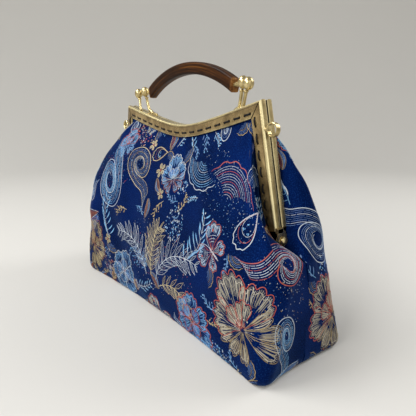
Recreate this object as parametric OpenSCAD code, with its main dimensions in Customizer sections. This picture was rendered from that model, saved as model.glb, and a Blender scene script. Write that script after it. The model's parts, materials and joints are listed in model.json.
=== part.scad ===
// Frame work bag for knitting: a brocade bag sewn to a two-part kiss-lock frame
// with a wooden grip. Origin at the bottom centre, +Z up, +X along the length,
// +Y towards the back. All lengths in millimetres.

/* [Frame] */
// Width of the closed frame from corner to corner
frame_w = 208; // [190:1:220]
// Distance between the hinge axes' outer ends, across the legs
hinge_w = 250; // [240:1:260]
// Height of the frame corners above the table
corner_z = 196.5; // [190:0.5:200]
// Height of the hinge axis above the table
hinge_z = 93; // [90:1:96]
// How far the top rail dips in its middle
rail_dip = 19.5; // [15:0.5:22]
// Softness of the bend in the dip, as a share of half the rail
dip_soft = 0.28; // [0.2:0.02:0.5]
// Width of the flange that carries the stitches
flange_w = 11.5; // [10:0.5:13]
// Thickness of the pressed sheet
sheet_t = 1.1; // [1:0.1:1.3]
// Depth of one half of the frame, front to back
half_depth = 6.5; // [6:0.5:7.5]
// Clear gap between the closed halves
closed_gap = 0.5; // [0.4:0.1:0.8]
// Width of the open mitre cut in each flange corner
mitre_gap = 0.5; // [0.3:0.1:0.8]

/* [Hinge] */
// Radius of the rounded ears at the hinge
ear_r = 5.5; // [5:0.25:6]
// Thickness of an ear
ear_t = 1.2; // [1:0.1:1.3]
// Radius of the rivet shank
rivet_r = 1.6; // [1.4:0.1:1.9]
// Running clearance of the shank in the ears, on the radius
rivet_clear = 0.06; // [0.02:0.01:0.1]
// Radius of the domed rivet head
rivet_head_r = 3.5; // [3:0.25:4]

/* [Sewing] */
// Distance of the row of holes from the frame's outer edge
stitch_inset = 7.8; // [7:0.2:8.5]
// Stitches along the top rail of one half
rail_stitches = 16; // [10:1:18]
// Stitches along one leg
leg_stitches = 7; // [5:1:8]
// Radius of a sewing hole
hole_r = 0.9; // [0.7:0.1:1]
// Thickness of the sewing thread
thread_d = 0.9; // [0.6:0.1:1]

/* [Clasp and rings] */
// Distance of each outer ball from the middle
outer_ball_x = 86.4; // [85:0.2:88]
// Distance of each inner ball from the middle
inner_ball_x = 77.4; // [76:0.2:77.6]
// Height of the outer balls' centres
outer_ball_z = 208.6; // [206:0.2:212]
// Height of the inner balls' centres
inner_ball_z = 210.2; // [208:0.2:213]
// Radius of a ball across
ball_r = 4.3; // [3.8:0.1:4.3]
// Half height of a ball
ball_h = 5.1; // [4.8:0.1:5.4]
// Radius of the posts
post_r = 1.35; // [1.1:0.05:1.5]
// Height of the strap rings' centres
ring_z = 173.6; // [160:0.2:178]
// Outer radius of a strap ring
ring_r = 5.5; // [5:0.25:6]
// Bore radius of a strap ring
ring_bore_r = 4.2; // [3.8:0.1:4.4]
// Length of a strap ring's tube
ring_len = 4; // [3:0.5:5]

/* [Grip] */
// Height of the top of the wooden grip
grip_top_z = 232.5; // [230:0.5:236]
// Radius of the grip's upper curve
grip_r = 130; // [120:1:140]
// Height of the grip's section
grip_h = 10.7; // [9:0.1:12]
// Thickness of the grip, front to back
grip_t = 9; // [8:0.25:10]
// Half length of the grip between its end faces
grip_half = 67; // [65:0.5:68]
// Place of the grip's middle plane, behind the middle of the bag
grip_y = 3.5; // [3:0.25:4]
// Radius of the studs that join the balls to the grip
stud_r = 2; // [1.5:0.1:2.2]

/* [Fabric] */
// Thickness of the brocade with its interlining
cloth_t = 1.2; // [1:0.1:1.4]
// Thickness of the lining
lining_t = 0.8; // [0.6:0.1:1]
// Air between neighbouring fabric layers
layer_gap = 0.4; // [0.3:0.1:0.6]
// Height of the fold line, where the cloth bends as the bag opens
fold_z = 80; // [76:1:82]
// Thickness of the stiffening board
board_t = 2; // [1.5:0.5:3]

/* [Hidden] */

fine = 48;
coarse = 16;
// How far a cutting tool stands clear of what it cuts.
cut_over = 1;
corner_x = frame_w / 2;
y_out = closed_gap / 2 + half_depth;
leg_rise = 8;
leg_end_z = hinge_z + leg_rise;
lean = atan((hinge_w / 2 - corner_x) / (corner_z - hinge_z));
rail_steps = 24;

brass = [0.66, 0.58, 0.38];
wood = [0.20, 0.09, 0.05];
thread = [0.04, 0.04, 0.09];
brocade = [0.09, 0.19, 0.50];
cotton = [0.13, 0.15, 0.27];
board = [0.55, 0.50, 0.42];

// Height of the frame's outer edge over the length: a soft V, almost straight to the corners.
function rail_z(x) =
    let (u = abs(x) / corner_x, k = dip_soft)
    corner_z - rail_dip + rail_dip * (sqrt(u * u + k * k) - k) / (sqrt(1 + k * k) - k);

// Distance of a leg's outer edge from the middle at a height.
function leg_x(z) = corner_x + (hinge_w / 2 - corner_x) * (corner_z - z) / (corner_z - hinge_z);

// Front view of the frame's outer edge, [x, z], from the left leg's foot round to the right one.
frame_path = concat(
    [[-leg_x(leg_end_z), leg_end_z]],
    [for (i = [0:rail_steps]) let (x = -corner_x + frame_w * i / rail_steps) [x, rail_z(x)]],
    [[leg_x(leg_end_z), leg_end_z]]);

function unit(v) = v / norm(v);

// The frame's edge moved inwards by a distance, with mitred corners; rail points that would
// pass the corners are left out.
function inset(p, d) = let (
        last = len(p) - 1,
        moved = [for (i = [0:last]) let (
            a = unit(i == 0 ? p[1] - p[0] : p[i] - p[i - 1]),
            b = unit(i == last ? p[i] - p[i - 1] : p[i + 1] - p[i]),
            na = [a[1], -a[0]],
            m = unit(na + [b[1], -b[0]]))
            p[i] + m * d / (m * na)])
    [for (i = [0:last]) if (i < 2 || i > last - 2 || abs(moved[i][0]) < abs(moved[1][0])) moved[i]];

// Point and direction at a distance along a path.
function along(p, s, i = 0) =
    let (l = norm(p[i + 1] - p[i]))
    s <= l || i == len(p) - 2
        ? [p[i] + (p[i + 1] - p[i]) * s / l, (p[i + 1] - p[i]) / l]
        : along(p, s - l, i + 1);

function path_length(p) = len(p) < 2 ? 0
    : norm(p[1] - p[0]) + path_length([for (i = [1:len(p) - 1]) p[i]]);

function reversed(p) = [for (i = [len(p) - 1:-1:0]) p[i]];

// ---- Frame ----

// A strip along the frame's edge, of the given width, from y_back forwards by depth.
module strip(width, depth, y_back)
    translate([0, y_back, 0]) rotate([90, 0, 0]) linear_extrude(depth)
        polygon(concat(frame_path, reversed(inset(frame_path, width))));

stitch_path = inset(frame_path, stitch_inset);
last = len(stitch_path) - 1;
rail_run = [for (i = [1:last - 1]) stitch_path[i]];
leg_run = [stitch_path[last], stitch_path[last - 1]];
// Distance from each end of a run to its outermost hole.
run_margin = 4.2;

// Distances of a run's holes from its start; each neighbouring pair carries one stitch.
function hole_marks(run, stitches) =
    let (pitch = (path_length(run) - 2 * run_margin) / (2 * stitches - 1))
    [for (k = [0:2 * stitches - 1]) run_margin + k * pitch];

rail_holes = [for (s = hole_marks(rail_run, rail_stitches)) along(rail_run, s)[0]];
leg_holes = [for (s = hole_marks(leg_run, leg_stitches)) along(leg_run, s)[0]];
all_holes = concat(rail_holes, leg_holes, [for (p = leg_holes) [-p[0], p[1]]]);

// The ears' tabs stop short of the closing plane and lap up over the leg's foot.
tab_short = 0.6;
tab_lap = 2;
// Block that carries an ear on the leg's wall.
block_drop = 1.5;
block_h = 3.5;

// An ear: a disc round the hinge axis with a tab up to the leg, in the plane across X.
module ear(x) {
    translate([x, 0, hinge_z]) rotate([0, 90, 0]) cylinder(r = ear_r, h = ear_t, $fn = fine);
    translate([x, -y_out, hinge_z]) cube([ear_t, y_out - tab_short, leg_rise + tab_lap]);
}

// The rear ears stand out by this from the legs' feet, the front ones outside them with a gap.
ear_out = 0.1;
ear_gap = 0.6;
rear_ear_x = leg_x(leg_end_z) - ear_t + ear_out;
front_ear_x = rear_ear_x + ear_t + ear_gap;
// The mitre cut starts inside the flange and leaves the corner of the sheet whole.
mitre_lead = 2;
mitre_stop = 1.4;

// One half of the frame as the front one lies: flange, wall, ears, holes and mitre cuts.
module frame_half(ear_x) {
    wall_in = leg_x(leg_end_z) - sheet_t;
    difference() {
        union() {
            strip(flange_w, sheet_t, -(y_out - sheet_t));
            strip(sheet_t, half_depth, -closed_gap / 2);
            for (s = [0, 1]) mirror([s, 0, 0]) {
                ear(ear_x);
                translate([wall_in, -y_out, leg_end_z - block_drop])
                    cube([ear_x + ear_t - wall_in, y_out - tab_short, block_h]);
            }
        }
        for (p = all_holes) translate([p[0], -y_out - cut_over, p[1]]) rotate([-90, 0, 0])
            cylinder(r = hole_r, h = sheet_t + 2 * cut_over, $fn = coarse);
        for (s = [0, 1]) mirror([s, 0, 0]) {
            translate([0, 0, hinge_z]) rotate([0, 90, 0])
                cylinder(r = rivet_r + rivet_clear, h = hinge_w, $fn = fine);
            inner = inset(frame_path, flange_w);
            corner_in = inner[len(inner) - 2];
            cut = [corner_x, corner_z] - corner_in;
            translate([corner_in[0], -y_out - cut_over, corner_in[1]])
                rotate([0, -atan2(cut[1], cut[0]), 0])
                translate([-mitre_lead, 0, -mitre_gap / 2])
                cube([norm(cut) + mitre_lead - mitre_stop, sheet_t + cut_over, mitre_gap]);
        }
    }
}

module front_frame() { color(brass) frame_half(front_ear_x); }
module rear_frame() { color(brass) mirror([0, 1, 0]) frame_half(rear_ear_x); }

// Domed rivet through both ears on one side, its axis along X.
module hinge_rivet(side) {
    tail_t = 1;
    tail_r = 3;
    play = 0.2;
    tail_x = rear_ear_x - play - tail_t;
    head_x = front_ear_x + ear_t + play;
    dome_h = 2.2;
    mirror([side < 0 ? 1 : 0, 0, 0]) color(brass) translate([tail_x, 0, hinge_z]) rotate([0, 90, 0])
        rotate_extrude($fn = fine) polygon(concat(
            [[0, 0], [tail_r, 0], [tail_r, tail_t], [rivet_r, tail_t],
             [rivet_r, head_x - tail_x], [rivet_head_r, head_x - tail_x]],
            [for (a = [15:15:75]) [rivet_head_r * cos(a), head_x - tail_x + dome_h * sin(a)]],
            [[0, head_x - tail_x + dome_h]]));
}
module hinge_rivet_left() { hinge_rivet(-1); }
module hinge_rivet_right() { hinge_rivet(1); }

// ---- Clasp, posts and rings ----

// A round bar between two points.
module bar(a, b, r) {
    d = b - a;
    translate(a) rotate([0, acos(d[2] / norm(d)), atan2(d[1], d[0])])
        cylinder(r = r, h = norm(d), $fn = 24);
}

// A slightly egg-shaped ball on its centre.
module ball(centre)
    translate(centre) rotate_extrude($fn = fine) polygon(
        [for (a = [-90:10:90]) [a == -90 || a == 90 ? 0 : ball_r * cos(a), ball_h * sin(a)]]);

// The bead under a ball, with the post's own top; its profile is [radius, height].
BEAD = [[0, -1.1], [1.2, -1.1], [1.9, -0.5], [2, 0], [1.9, 0.5], [1.2, 1.1], [0, 1.1]];
module bead(centre)
    translate(centre) rotate_extrude($fn = 32)
        polygon(BEAD);

// Point over the rail on the right-hand side, at a place along it and a height above it.
function over_rail(x, y, rise) = [x, y, rail_z(x) + rise];

// Right-hand outer ball, its bead and the foot of its post, sunk into the wall.
outer_ball = [outer_ball_x, -1.6, outer_ball_z];
outer_bead = outer_ball + [-2.2, -0.3, -ball_h - 0.6];
outer_foot = over_rail(81.8, -2.7, -0.5);

// Right-hand inner ball, its bead, and the bend and the foot of its swan-necked post.
inner_ball = [inner_ball_x, 1.3, inner_ball_z];
inner_bead = inner_ball + [-2, 0.4, -ball_h - 1];
inner_bend = over_rail(68.5, 2.7, 2);
inner_foot = over_rail(58, 2.7, 0.7);
elbow_r = post_r + 0.35;

// Short post brazed on the front half's wall, leaning out under the outer ball.
module clasp_post(side) mirror([side < 0 ? 1 : 0, 0, 0]) color(brass) {
    bar(outer_foot, outer_bead, post_r);
    bead(outer_bead);
}
module clasp_post_left() { clasp_post(-1); }
module clasp_post_right() { clasp_post(1); }

module clasp_ball(side) mirror([side < 0 ? 1 : 0, 0, 0]) color(brass)
    ball(outer_ball);
module clasp_ball_left() { clasp_ball(-1); }
module clasp_ball_right() { clasp_ball(1); }

// Swan-necked post: its foot lies along the rear half's rail, its neck rises under the inner ball.
module handle_post(side) mirror([side < 0 ? 1 : 0, 0, 0]) color(brass) {
    bar(inner_foot, inner_bend, post_r);
    translate(inner_bend) sphere(r = elbow_r, $fn = 32);
    bar(inner_bend, inner_bead, post_r);
    bead(inner_bead);
}
module handle_post_left() { handle_post(-1); }
module handle_post_right() { handle_post(1); }

// The studs' axis, how deep they sit in the grip and where they end inside the balls.
stud_y = 2.6;
stud_z = inner_ball_z - 1;
stud_deep = 10;
stud_end_x = inner_ball_x - 1;

// Inner ball with the seat for the stud that holds the grip.
module handle_ball(side) mirror([side < 0 ? 1 : 0, 0, 0]) color(brass) difference() {
    ball(inner_ball);
    translate([0, stud_y, stud_z]) rotate([0, 90, 0])
        cylinder(r = stud_r, h = stud_end_x, $fn = fine);
}
module handle_ball_left() { handle_ball(-1); }
module handle_ball_right() { handle_ball(1); }

module handle_stud(side) mirror([side < 0 ? 1 : 0, 0, 0]) color(brass)
    translate([grip_half - stud_deep, stud_y, stud_z]) rotate([0, 90, 0])
        cylinder(r = stud_r, h = stud_end_x - grip_half + stud_deep, $fn = fine);
module handle_stud_left() { handle_stud(-1); }
module handle_stud_right() { handle_stud(1); }

// Short tube across the bag, brazed by a lug to the front half's leg.
module strap_ring(side) {
    seat = 0.05;
    stand = 0.7;
    lug = [2.3, ring_len - 0.4, 6];
    mirror([side < 0 ? 1 : 0, 0, 0]) color(brass)
        translate([leg_x(ring_z), -y_out / 2, ring_z]) rotate([0, -lean, 0]) difference() {
            union() {
                translate([ring_r + stand, 0, 0]) rotate([90, 0, 0])
                    cylinder(r = ring_r, h = ring_len, center = true, $fn = fine);
                translate([seat, -lug[1] / 2, -lug[2] / 2]) cube(lug);
            }
            translate([ring_r + stand, 0, 0]) rotate([90, 0, 0])
                cylinder(r = ring_bore_r, h = ring_len + 2 * cut_over, center = true, $fn = fine);
        }
}
module strap_ring_left() { strap_ring(-1); }
module strap_ring_right() { strap_ring(1); }

// ---- Stitching ----

// One stitch lying on the flange between two holes, with its ends down through them.
thread_fit = 0.05;
module stitch(a, b) {
    d = b - a;
    translate([a[0], -y_out - thread_d, a[1]]) rotate([0, -atan2(d[1], d[0]), 0])
        translate([-thread_d / 2, 0, -thread_d / 2]) cube([norm(d) + thread_d, thread_d, thread_d]);
    for (p = [a, b]) translate([p[0], -y_out - thread_d / 2, p[1]]) rotate([-90, 0, 0])
        cylinder(r = thread_d / 2 - thread_fit, h = sheet_t + thread_d / 2, $fn = coarse);
}
module stitches() {
    for (k = [0:rail_stitches - 1]) stitch(rail_holes[2 * k], rail_holes[2 * k + 1]);
    for (s = [0, 1]) mirror([s, 0, 0])
        for (k = [0:leg_stitches - 1]) stitch(leg_holes[2 * k], leg_holes[2 * k + 1]);
}
module front_stitching() { color(thread) stitches(); }
module rear_stitching() { color(thread) mirror([0, 1, 0]) stitches(); }

// ---- Grip ----

grip_centre_z = grip_top_z - grip_r;
grip_end_a = asin(grip_half / grip_r);
grip_steps = 12;
// The lower corners of the grip's ends lie this much further in than the upper ones.
end_slant = 2.5;

// Curved wooden bar of rectangular section, drilled at both ends for the studs.
module handle_grip() color(wood) difference() {
    translate([0, grip_y + grip_t / 2, 0]) rotate([90, 0, 0]) linear_extrude(grip_t) {
        inner_r = grip_r - grip_h;
        inner_a = asin((grip_half - end_slant) / inner_r);
        polygon(concat(
            [for (i = [-grip_steps:grip_steps]) let (a = grip_end_a * i / grip_steps)
                [grip_r * sin(a), grip_centre_z + grip_r * cos(a)]],
            [for (i = [grip_steps:-1:-grip_steps]) let (a = inner_a * i / grip_steps)
                [inner_r * sin(a), grip_centre_z + inner_r * cos(a)]]));
    }
    for (s = [0, 1]) mirror([s, 0, 0]) translate([grip_half - stud_deep, stud_y, stud_z])
        rotate([0, 90, 0]) cylinder(r = stud_r, h = stud_deep + cut_over, $fn = fine);
}

// ---- Fabric ----

// Bag outline at key heights: height, half length, half depth, squareness and how far the
// long sides are drawn in between the corners, as a share of the half depth.
LEVELS = [
    [0, 145.5, 45, 7, 0.16], [4, 148.5, 47.5, 7, 0.16], [25, 149, 47.5, 5.5, 0.10],
    [50, 147, 45, 4.5, 0.04], [66, 145, 42.5, 4, 0], [fold_z, 142, 40, 3.6, 0]];

// Point of an outline level in a direction, a rounded rectangle that squareness makes fuller,
// moved inwards by a distance.
function outline(level, a, shrink = 0) =
    let (n = level[3], c = cos(a), s = sin(a),
         r = pow(pow(abs(c), n) + pow(abs(s), n), -1 / n),
         draw = 1 - level[4] * (1 - r * r * c * c))
    [(level[1] - shrink) * r * c, (level[2] - shrink) * r * s * draw];

// Closed solid from rings of equal length, each a closed loop of points, with flat end faces.
module skin(rings) {
    n = len(rings);
    m = len(rings[0]);
    polyhedron(
        points = [for (r = rings) for (p = r) p],
        faces = concat(
            [for (i = [0:n - 2]) for (j = [0:m - 1]) let (k = (j + 1) % m)
                each [[i * m + j, i * m + k, (i + 1) * m + k],
                    [i * m + j, (i + 1) * m + k, (i + 1) * m + j]]],
            [[for (j = [m - 1:-1:0]) j]],
            [[for (j = [0:m - 1]) (n - 1) * m + j]]),
        convexity = 6);
}

half_steps = 40;
// The front and back halves stop this far from the side seams' plane.
seam_y = 0.1;
// The floor's seam is this share of the length, so that the floor closes on its ends.
seam_share = 0.9;

// Front half of a tub: floor and wall of one thickness, shrunk inwards and standing at a height.
module half_tub(shrink, floor_z, thick) {
    walls = [for (l = LEVELS) if (l[0] > floor_z) l];
    foot = concat([floor_z], [for (i = [1:4]) LEVELS[0][i]]);
    skin([for (k = [0:half_steps])
        let (a = 180 + 180 * k / half_steps,
             out = outline(foot, a, shrink),
             in = outline(foot, a, shrink + thick),
             drop = [0, -seam_y, 0])
        concat(
            [[out[0] * seam_share, 0, floor_z] + drop, [out[0], out[1], floor_z] + drop],
            [for (l = walls) let (p = outline(l, a, shrink)) [p[0], p[1], l[0]] + drop],
            [for (l = reversed(walls)) if (l[0] > floor_z + thick)
                let (p = outline(l, a, shrink + thick)) [p[0], p[1], l[0]] + drop],
            [[in[0], in[1], floor_z + thick] + drop, [in[0] * seam_share, 0, floor_z + thick] + drop])]);
}

module front_panel_lower() { color(brocade) half_tub(0, 0, cloth_t); }
module back_panel_lower() { color(brocade) mirror([0, 1, 0]) half_tub(0, 0, cloth_t); }

lining_floor = cloth_t + board_t + 2 * layer_gap;
module lining_lower() color(cotton)
    for (s = [0, 1]) mirror([0, s, 0]) half_tub(cloth_t + layer_gap, lining_floor, lining_t);

board_gap = 1.5;
board_step = 5;
module base_board() color(board) translate([0, 0, cloth_t + layer_gap / 2]) linear_extrude(board_t)
    polygon([for (a = [0:board_step:360 - board_step]) outline(LEVELS[0], a, cloth_t + board_gap)]);

// The upper cloth swings with its half of the frame, so its lower edge stays this far inside the tub.
swing_gap = 4;
// Height of the upper cloth's lower edge above the fold line.
foot_rise = 3;
upper_foot_z = fold_z + foot_rise;
upper_steps = 50;
// Share of the upper edge that runs along each leg.
leg_share = 0.24;
// Room between the flange's inner edge and the cloth that passes out under it.
tuck_gap = 2.4;
// Gap between the flange's inner face and the cloth behind it.
cloth_clearance = 0.2;

// Edge of the cloth behind the flange, set in from the frame's outer edge; u runs 0 to 1
// from the left leg's foot over the rail to the right leg's foot.
function edge_point(u, set_in) =
    let (p = inset(frame_path, set_in), n = len(p) - 1)
    u < leg_share ? p[0] + (p[1] - p[0]) * u / leg_share
    : u > 1 - leg_share ? p[n] + (p[n - 1] - p[n]) * (1 - u) / leg_share
    : let (rail = [for (i = [1:n - 1]) p[i]])
      along(rail, path_length(rail) * (u - leg_share) / (1 - 2 * leg_share))[0];

// Degrees round the bag from its ends at which the lower edge starts and stops.
foot_turn = 21;

// Point of the upper cloth's lower edge for the same u, round the bag from end to end.
function foot_point(u) =
    let (p = outline(LEVELS[len(LEVELS) - 1], 180 + foot_turn + (180 - 2 * foot_turn) * u, swing_gap))
    [p[0], p[1], upper_foot_z];

// Smooth step from 0 to 1 between two values.
function ease(t, from, to) = let (c = max(0, min(1, (t - from) / (to - from)))) c * c * (3 - 2 * c);

// Directions in which the cloth leaves the flange's inner edge along the rail, along a leg
// and at a leg's foot, and in which it meets its lower edge, for the right-hand end.
LEAVE_RAIL = [0.1, -0.42, -0.9];
LEAVE_LEG = [0.25, -0.85, -0.45];
LEAVE_FOOT = [0.1, -0.45, -0.9];
ARRIVE = [0.1, -0.2, -1];
// Where the directions change over, from 0 in the middle of the bag to 1 at a leg's foot.
LEG_BLEND = [0.3, 0.75];
FOOT_BLEND = [0.8, 1];
SPREAD_BLEND = 0.5;
// Length of the curve's end vectors, as a share of the straight distance.
slack = 0.8;
column_rows = 12;
// Rows crowd towards the flange by this power.
row_power = 1.4;
edge_inset = 3.5;

// One line down the upper cloth's outer face: behind the flange, out under its inner edge,
// then in a Hermite curve to the lower edge.
function column(u) = let (
        side = 2 * u - 1,
        on_leg = ease(abs(side), LEG_BLEND[0], LEG_BLEND[1]),
        at_foot = ease(abs(side), FOOT_BLEND[0], FOOT_BLEND[1]),
        y0 = -(y_out - sheet_t - cloth_clearance),
        edge = edge_point(u, edge_inset),
        tuck = edge_point(u, flange_w + tuck_gap),
        top = [tuck[0], y0, tuck[1]],
        foot = foot_point(u),
        reach = slack * norm(foot - top),
        way = (LEAVE_RAIL * (1 - on_leg) + LEAVE_LEG * on_leg) * (1 - at_foot) + LEAVE_FOOT * at_foot,
        spread = sign(side) * min(1, abs(side) / SPREAD_BLEND),
        leave = reach * unit([way[0] * spread, way[1], way[2]]),
        arrive = reach * unit([ARRIVE[0] * side, ARRIVE[1], ARRIVE[2]]))
    concat([[edge[0], y0, edge[1]]], [for (i = [0:column_rows]) let (t = pow(i / column_rows, row_power))
        top * (2 * t * t * t - 3 * t * t + 1) + leave * (t * t * t - 2 * t * t + t)
        + foot * (3 * t * t - 2 * t * t * t) + arrive * (t * t * t - t * t)]);

UPPER_FACE = [for (k = [0:upper_steps]) column(k / upper_steps)];

// Point k, i of the outer face moved inwards to a depth, mitred between the rows above and below.
function sunk(k, i, depth) = let (
        last = column_rows + 1,
        here = UPPER_FACE[k][i],
        before = UPPER_FACE[max(k - 1, 0)][i],
        after = UPPER_FACE[min(k + 1, upper_steps)][i],
        ahead = k < upper_steps ? unit(after - here) : unit(here - before),
        sideways = ahead + (k > 0 ? unit(here - before) : ahead),
        above = unit(cross(sideways, i > 0 ? here - UPPER_FACE[k][i - 1] : UPPER_FACE[k][1] - here)),
        down = i < last ? UPPER_FACE[k][i + 1] - here : here - UPPER_FACE[k][last - 1],
        below = unit(cross(sideways, down)))
    here + depth * (above + below) / (1 + above * below);

// One upper cloth of a thickness, with its outer face at a depth.
module upper_cloth(depth, thick)
    skin([for (k = [0:upper_steps]) concat(
        [for (i = [column_rows + 1:-1:0]) sunk(k, i, depth)],
        [for (i = [0:column_rows + 1]) sunk(k, i, depth + thick)])]);

module front_panel_upper() { color(brocade) upper_cloth(0, cloth_t); }
module back_panel_upper() { color(brocade) mirror([0, 1, 0]) upper_cloth(0, cloth_t); }
module front_lining_upper() { color(cotton) upper_cloth(cloth_t + layer_gap, lining_t); }
module back_lining_upper() { color(cotton) mirror([0, 1, 0]) upper_cloth(cloth_t + layer_gap, lining_t); }

front_frame();
rear_frame();
hinge_rivet_left();
hinge_rivet_right();
clasp_post_left();
clasp_post_right();
clasp_ball_left();
clasp_ball_right();
handle_post_left();
handle_post_right();
handle_ball_left();
handle_ball_right();
handle_stud_left();
handle_stud_right();
handle_grip();
strap_ring_left();
strap_ring_right();
front_stitching();
rear_stitching();
front_panel_upper();
back_panel_upper();
front_panel_lower();
back_panel_lower();
front_lining_upper();
back_lining_upper();
lining_lower();
base_board();
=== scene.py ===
"""Knitting bag: a brocade bag sewn to a two-part kiss-lock frame, with a curved wooden grip.

Lengths are millimetres in the row frame (+Z up, +X along the bag, +Y to the back) and become metres where a
mesh is made. The cloth of the back is worked out as a front and then turned half round about Z.
"""
import json
import math

import bmesh
import bpy
import numpy as np
from mathutils import Matrix, Vector


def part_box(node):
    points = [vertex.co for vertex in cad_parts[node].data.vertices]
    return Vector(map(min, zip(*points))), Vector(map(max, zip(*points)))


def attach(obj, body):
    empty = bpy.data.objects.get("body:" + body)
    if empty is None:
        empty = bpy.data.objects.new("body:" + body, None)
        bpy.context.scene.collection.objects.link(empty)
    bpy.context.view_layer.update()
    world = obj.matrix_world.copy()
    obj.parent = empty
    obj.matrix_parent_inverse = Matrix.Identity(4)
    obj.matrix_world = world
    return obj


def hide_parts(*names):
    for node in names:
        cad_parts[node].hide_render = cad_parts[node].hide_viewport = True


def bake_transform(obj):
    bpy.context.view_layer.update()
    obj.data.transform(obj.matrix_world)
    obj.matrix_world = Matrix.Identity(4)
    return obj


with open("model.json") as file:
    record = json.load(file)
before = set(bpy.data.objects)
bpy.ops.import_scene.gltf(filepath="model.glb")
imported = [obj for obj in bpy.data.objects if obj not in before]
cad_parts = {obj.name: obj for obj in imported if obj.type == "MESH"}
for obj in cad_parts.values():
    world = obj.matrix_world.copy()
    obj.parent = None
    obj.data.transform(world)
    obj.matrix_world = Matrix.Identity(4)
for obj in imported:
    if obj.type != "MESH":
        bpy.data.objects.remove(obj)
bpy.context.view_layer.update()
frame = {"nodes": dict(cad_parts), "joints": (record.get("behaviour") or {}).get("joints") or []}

MM = 0.001


def box_mm(node_name):
    """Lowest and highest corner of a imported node, in millimetres."""
    return [np.array(corner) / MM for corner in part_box(node_name)]


# ---- Sizes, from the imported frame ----

frame_low, frame_high = box_mm("front_frame")
CORNER_Z = frame_high[2]
Y_OUT = -frame_low[1]
HINGE_Z = frame["joints"][0]["pos_m"][2] / MM
BALL_OUT = [sum(c) / 2 for c in zip(*box_mm("clasp_ball_right"))]
BALL_IN = [sum(c) / 2 for c in zip(*box_mm("handle_ball_right"))]
BALL_SIZE = box_mm("clasp_ball_right")[1] - box_mm("clasp_ball_right")[0]
GRIP_LOW, GRIP_HIGH = box_mm("handle_grip")
RING_LOW, RING_HIGH = box_mm("strap_ring_right")
BOARD_TOP = box_mm("base_board")[1][2]

# The frame: its corners and leg feet, the dip of its rail, the bent sheet and the row of sewing holes.
CORNER_X = 104.0
LEG_FOOT_X = 125.0
LEG_END_Z = HINGE_Z + 8.0
RAIL_DIP = 19.5
DIP_SOFT = 0.28
FLANGE_W = 11.5
SHEET_T = 1.1
SLIT_W = 1.1
EAR_T = 1.2
EAR_R = 5.5
STITCH_INSET = 7.8
RAIL_STITCHES = 16
LEG_STITCHES = 7
RUN_MARGIN = 4.2
HOLE_R = 1.05
THREAD_R = 0.48

# The cloth: brocade, the gap behind it and the lining; a thread's height over the ground, rim and middle.
CLOTH_T, LINING_GAP, LINING_T = 1.0, 0.3, 0.7
THREAD_EDGE, THREAD_TOP = 0.10, 0.28


# ---- Small helpers ----

def smoothstep(t):
    """0 below 0, 1 above 1, and 3t^2 - 2t^3 between."""
    t = np.clip(t, 0.0, 1.0)
    return t * t * (3.0 - 2.0 * t)


def unit(v):
    """Vectors along the last axis, divided by their length."""
    return v / np.maximum(np.linalg.norm(v, axis=-1, keepdims=True), 1e-9)


def grid_quads(rows, cols, wrap_rows=False, wrap_cols=False):
    """Quads of a rows x cols grid of points, row by row; a wrapped side joins its end to its start."""
    i, j = np.meshgrid(np.arange(rows - (not wrap_rows)), np.arange(cols - (not wrap_cols)), indexing="ij")
    i2, j2 = (i + 1) % rows, (j + 1) % cols
    quads = np.stack([i * cols + j, i * cols + j2, i2 * cols + j2, i2 * cols + j], axis=-1)
    return quads.reshape(-1, 4)


def placed(name, data):
    """A new object with the data, in the scene."""
    obj = bpy.data.objects.new(name, data)
    bpy.context.scene.collection.objects.link(obj)
    return obj


def shade(mesh, angle):
    """Shades a mesh smooth, but sharp where faces meet at more than an angle in degrees."""
    mesh.shade_smooth()
    mesh.set_sharp_from_angle(angle=math.radians(angle))


def point_values(obj, name, values):
    """Gives each point of a mesh a number, a vector or an RGBA colour, by the values' width."""
    values = np.asarray(values, np.float32)
    kind, field = {1: ("FLOAT", "value"), 3: ("FLOAT_VECTOR", "vector"),
                   4: ("FLOAT_COLOR", "color")}[values.shape[-1] if values.ndim > 1 else 1]
    obj.data.attributes.new(name, kind, "POINT").data.foreach_set(field, values.ravel())


def mesh_object(name, points, faces, material, closed=True, smooth_angle=40.0):
    """Object from points in mm and a list of faces, shaded smooth below an angle between faces.

    A closed solid has its normals turned outwards; a sheet keeps the way its faces were given."""
    mesh = bpy.data.meshes.new(name)
    points = (np.asarray(points).reshape(-1, 3) * MM).tolist()
    mesh.from_pydata(points, [], [list(map(int, f)) for f in faces])
    if closed:
        work = bmesh.new()
        work.from_mesh(mesh)
        bmesh.ops.recalc_face_normals(work, faces=work.faces)
        work.to_mesh(mesh)
        work.free()
    shade(mesh, smooth_angle)
    mesh.materials.append(material)
    return placed(name, mesh)


def joined(parts):
    """One point array and one face list from several (points, faces) pairs."""
    points, faces, start = [], [], 0
    for p, f in parts:
        p = np.asarray(p, float).reshape(-1, 3)
        points.append(p)
        faces += [[int(i) + start for i in face] for face in f]
        start += len(p)
    return np.concatenate(points), faces


def both_sides(part):
    """A (points, faces) pair with its reflection across the middle of the bag."""
    return joined([part, (np.asarray(part[0]).reshape(-1, 3) * [-1, 1, 1], part[1])])


def lofted(rings, closed_ends=True):
    """Solid through equal closed rings of points, with its first and last ring filled."""
    rings = np.asarray(rings, float)
    n, m = rings.shape[:2]
    faces = grid_quads(n, m, wrap_rows=not closed_ends, wrap_cols=True).tolist()
    if closed_ends:
        faces.append(list(range(m))[::-1])
        faces.append([(n - 1) * m + k for k in range(m)])
    return rings.reshape(-1, 3), faces


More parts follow.
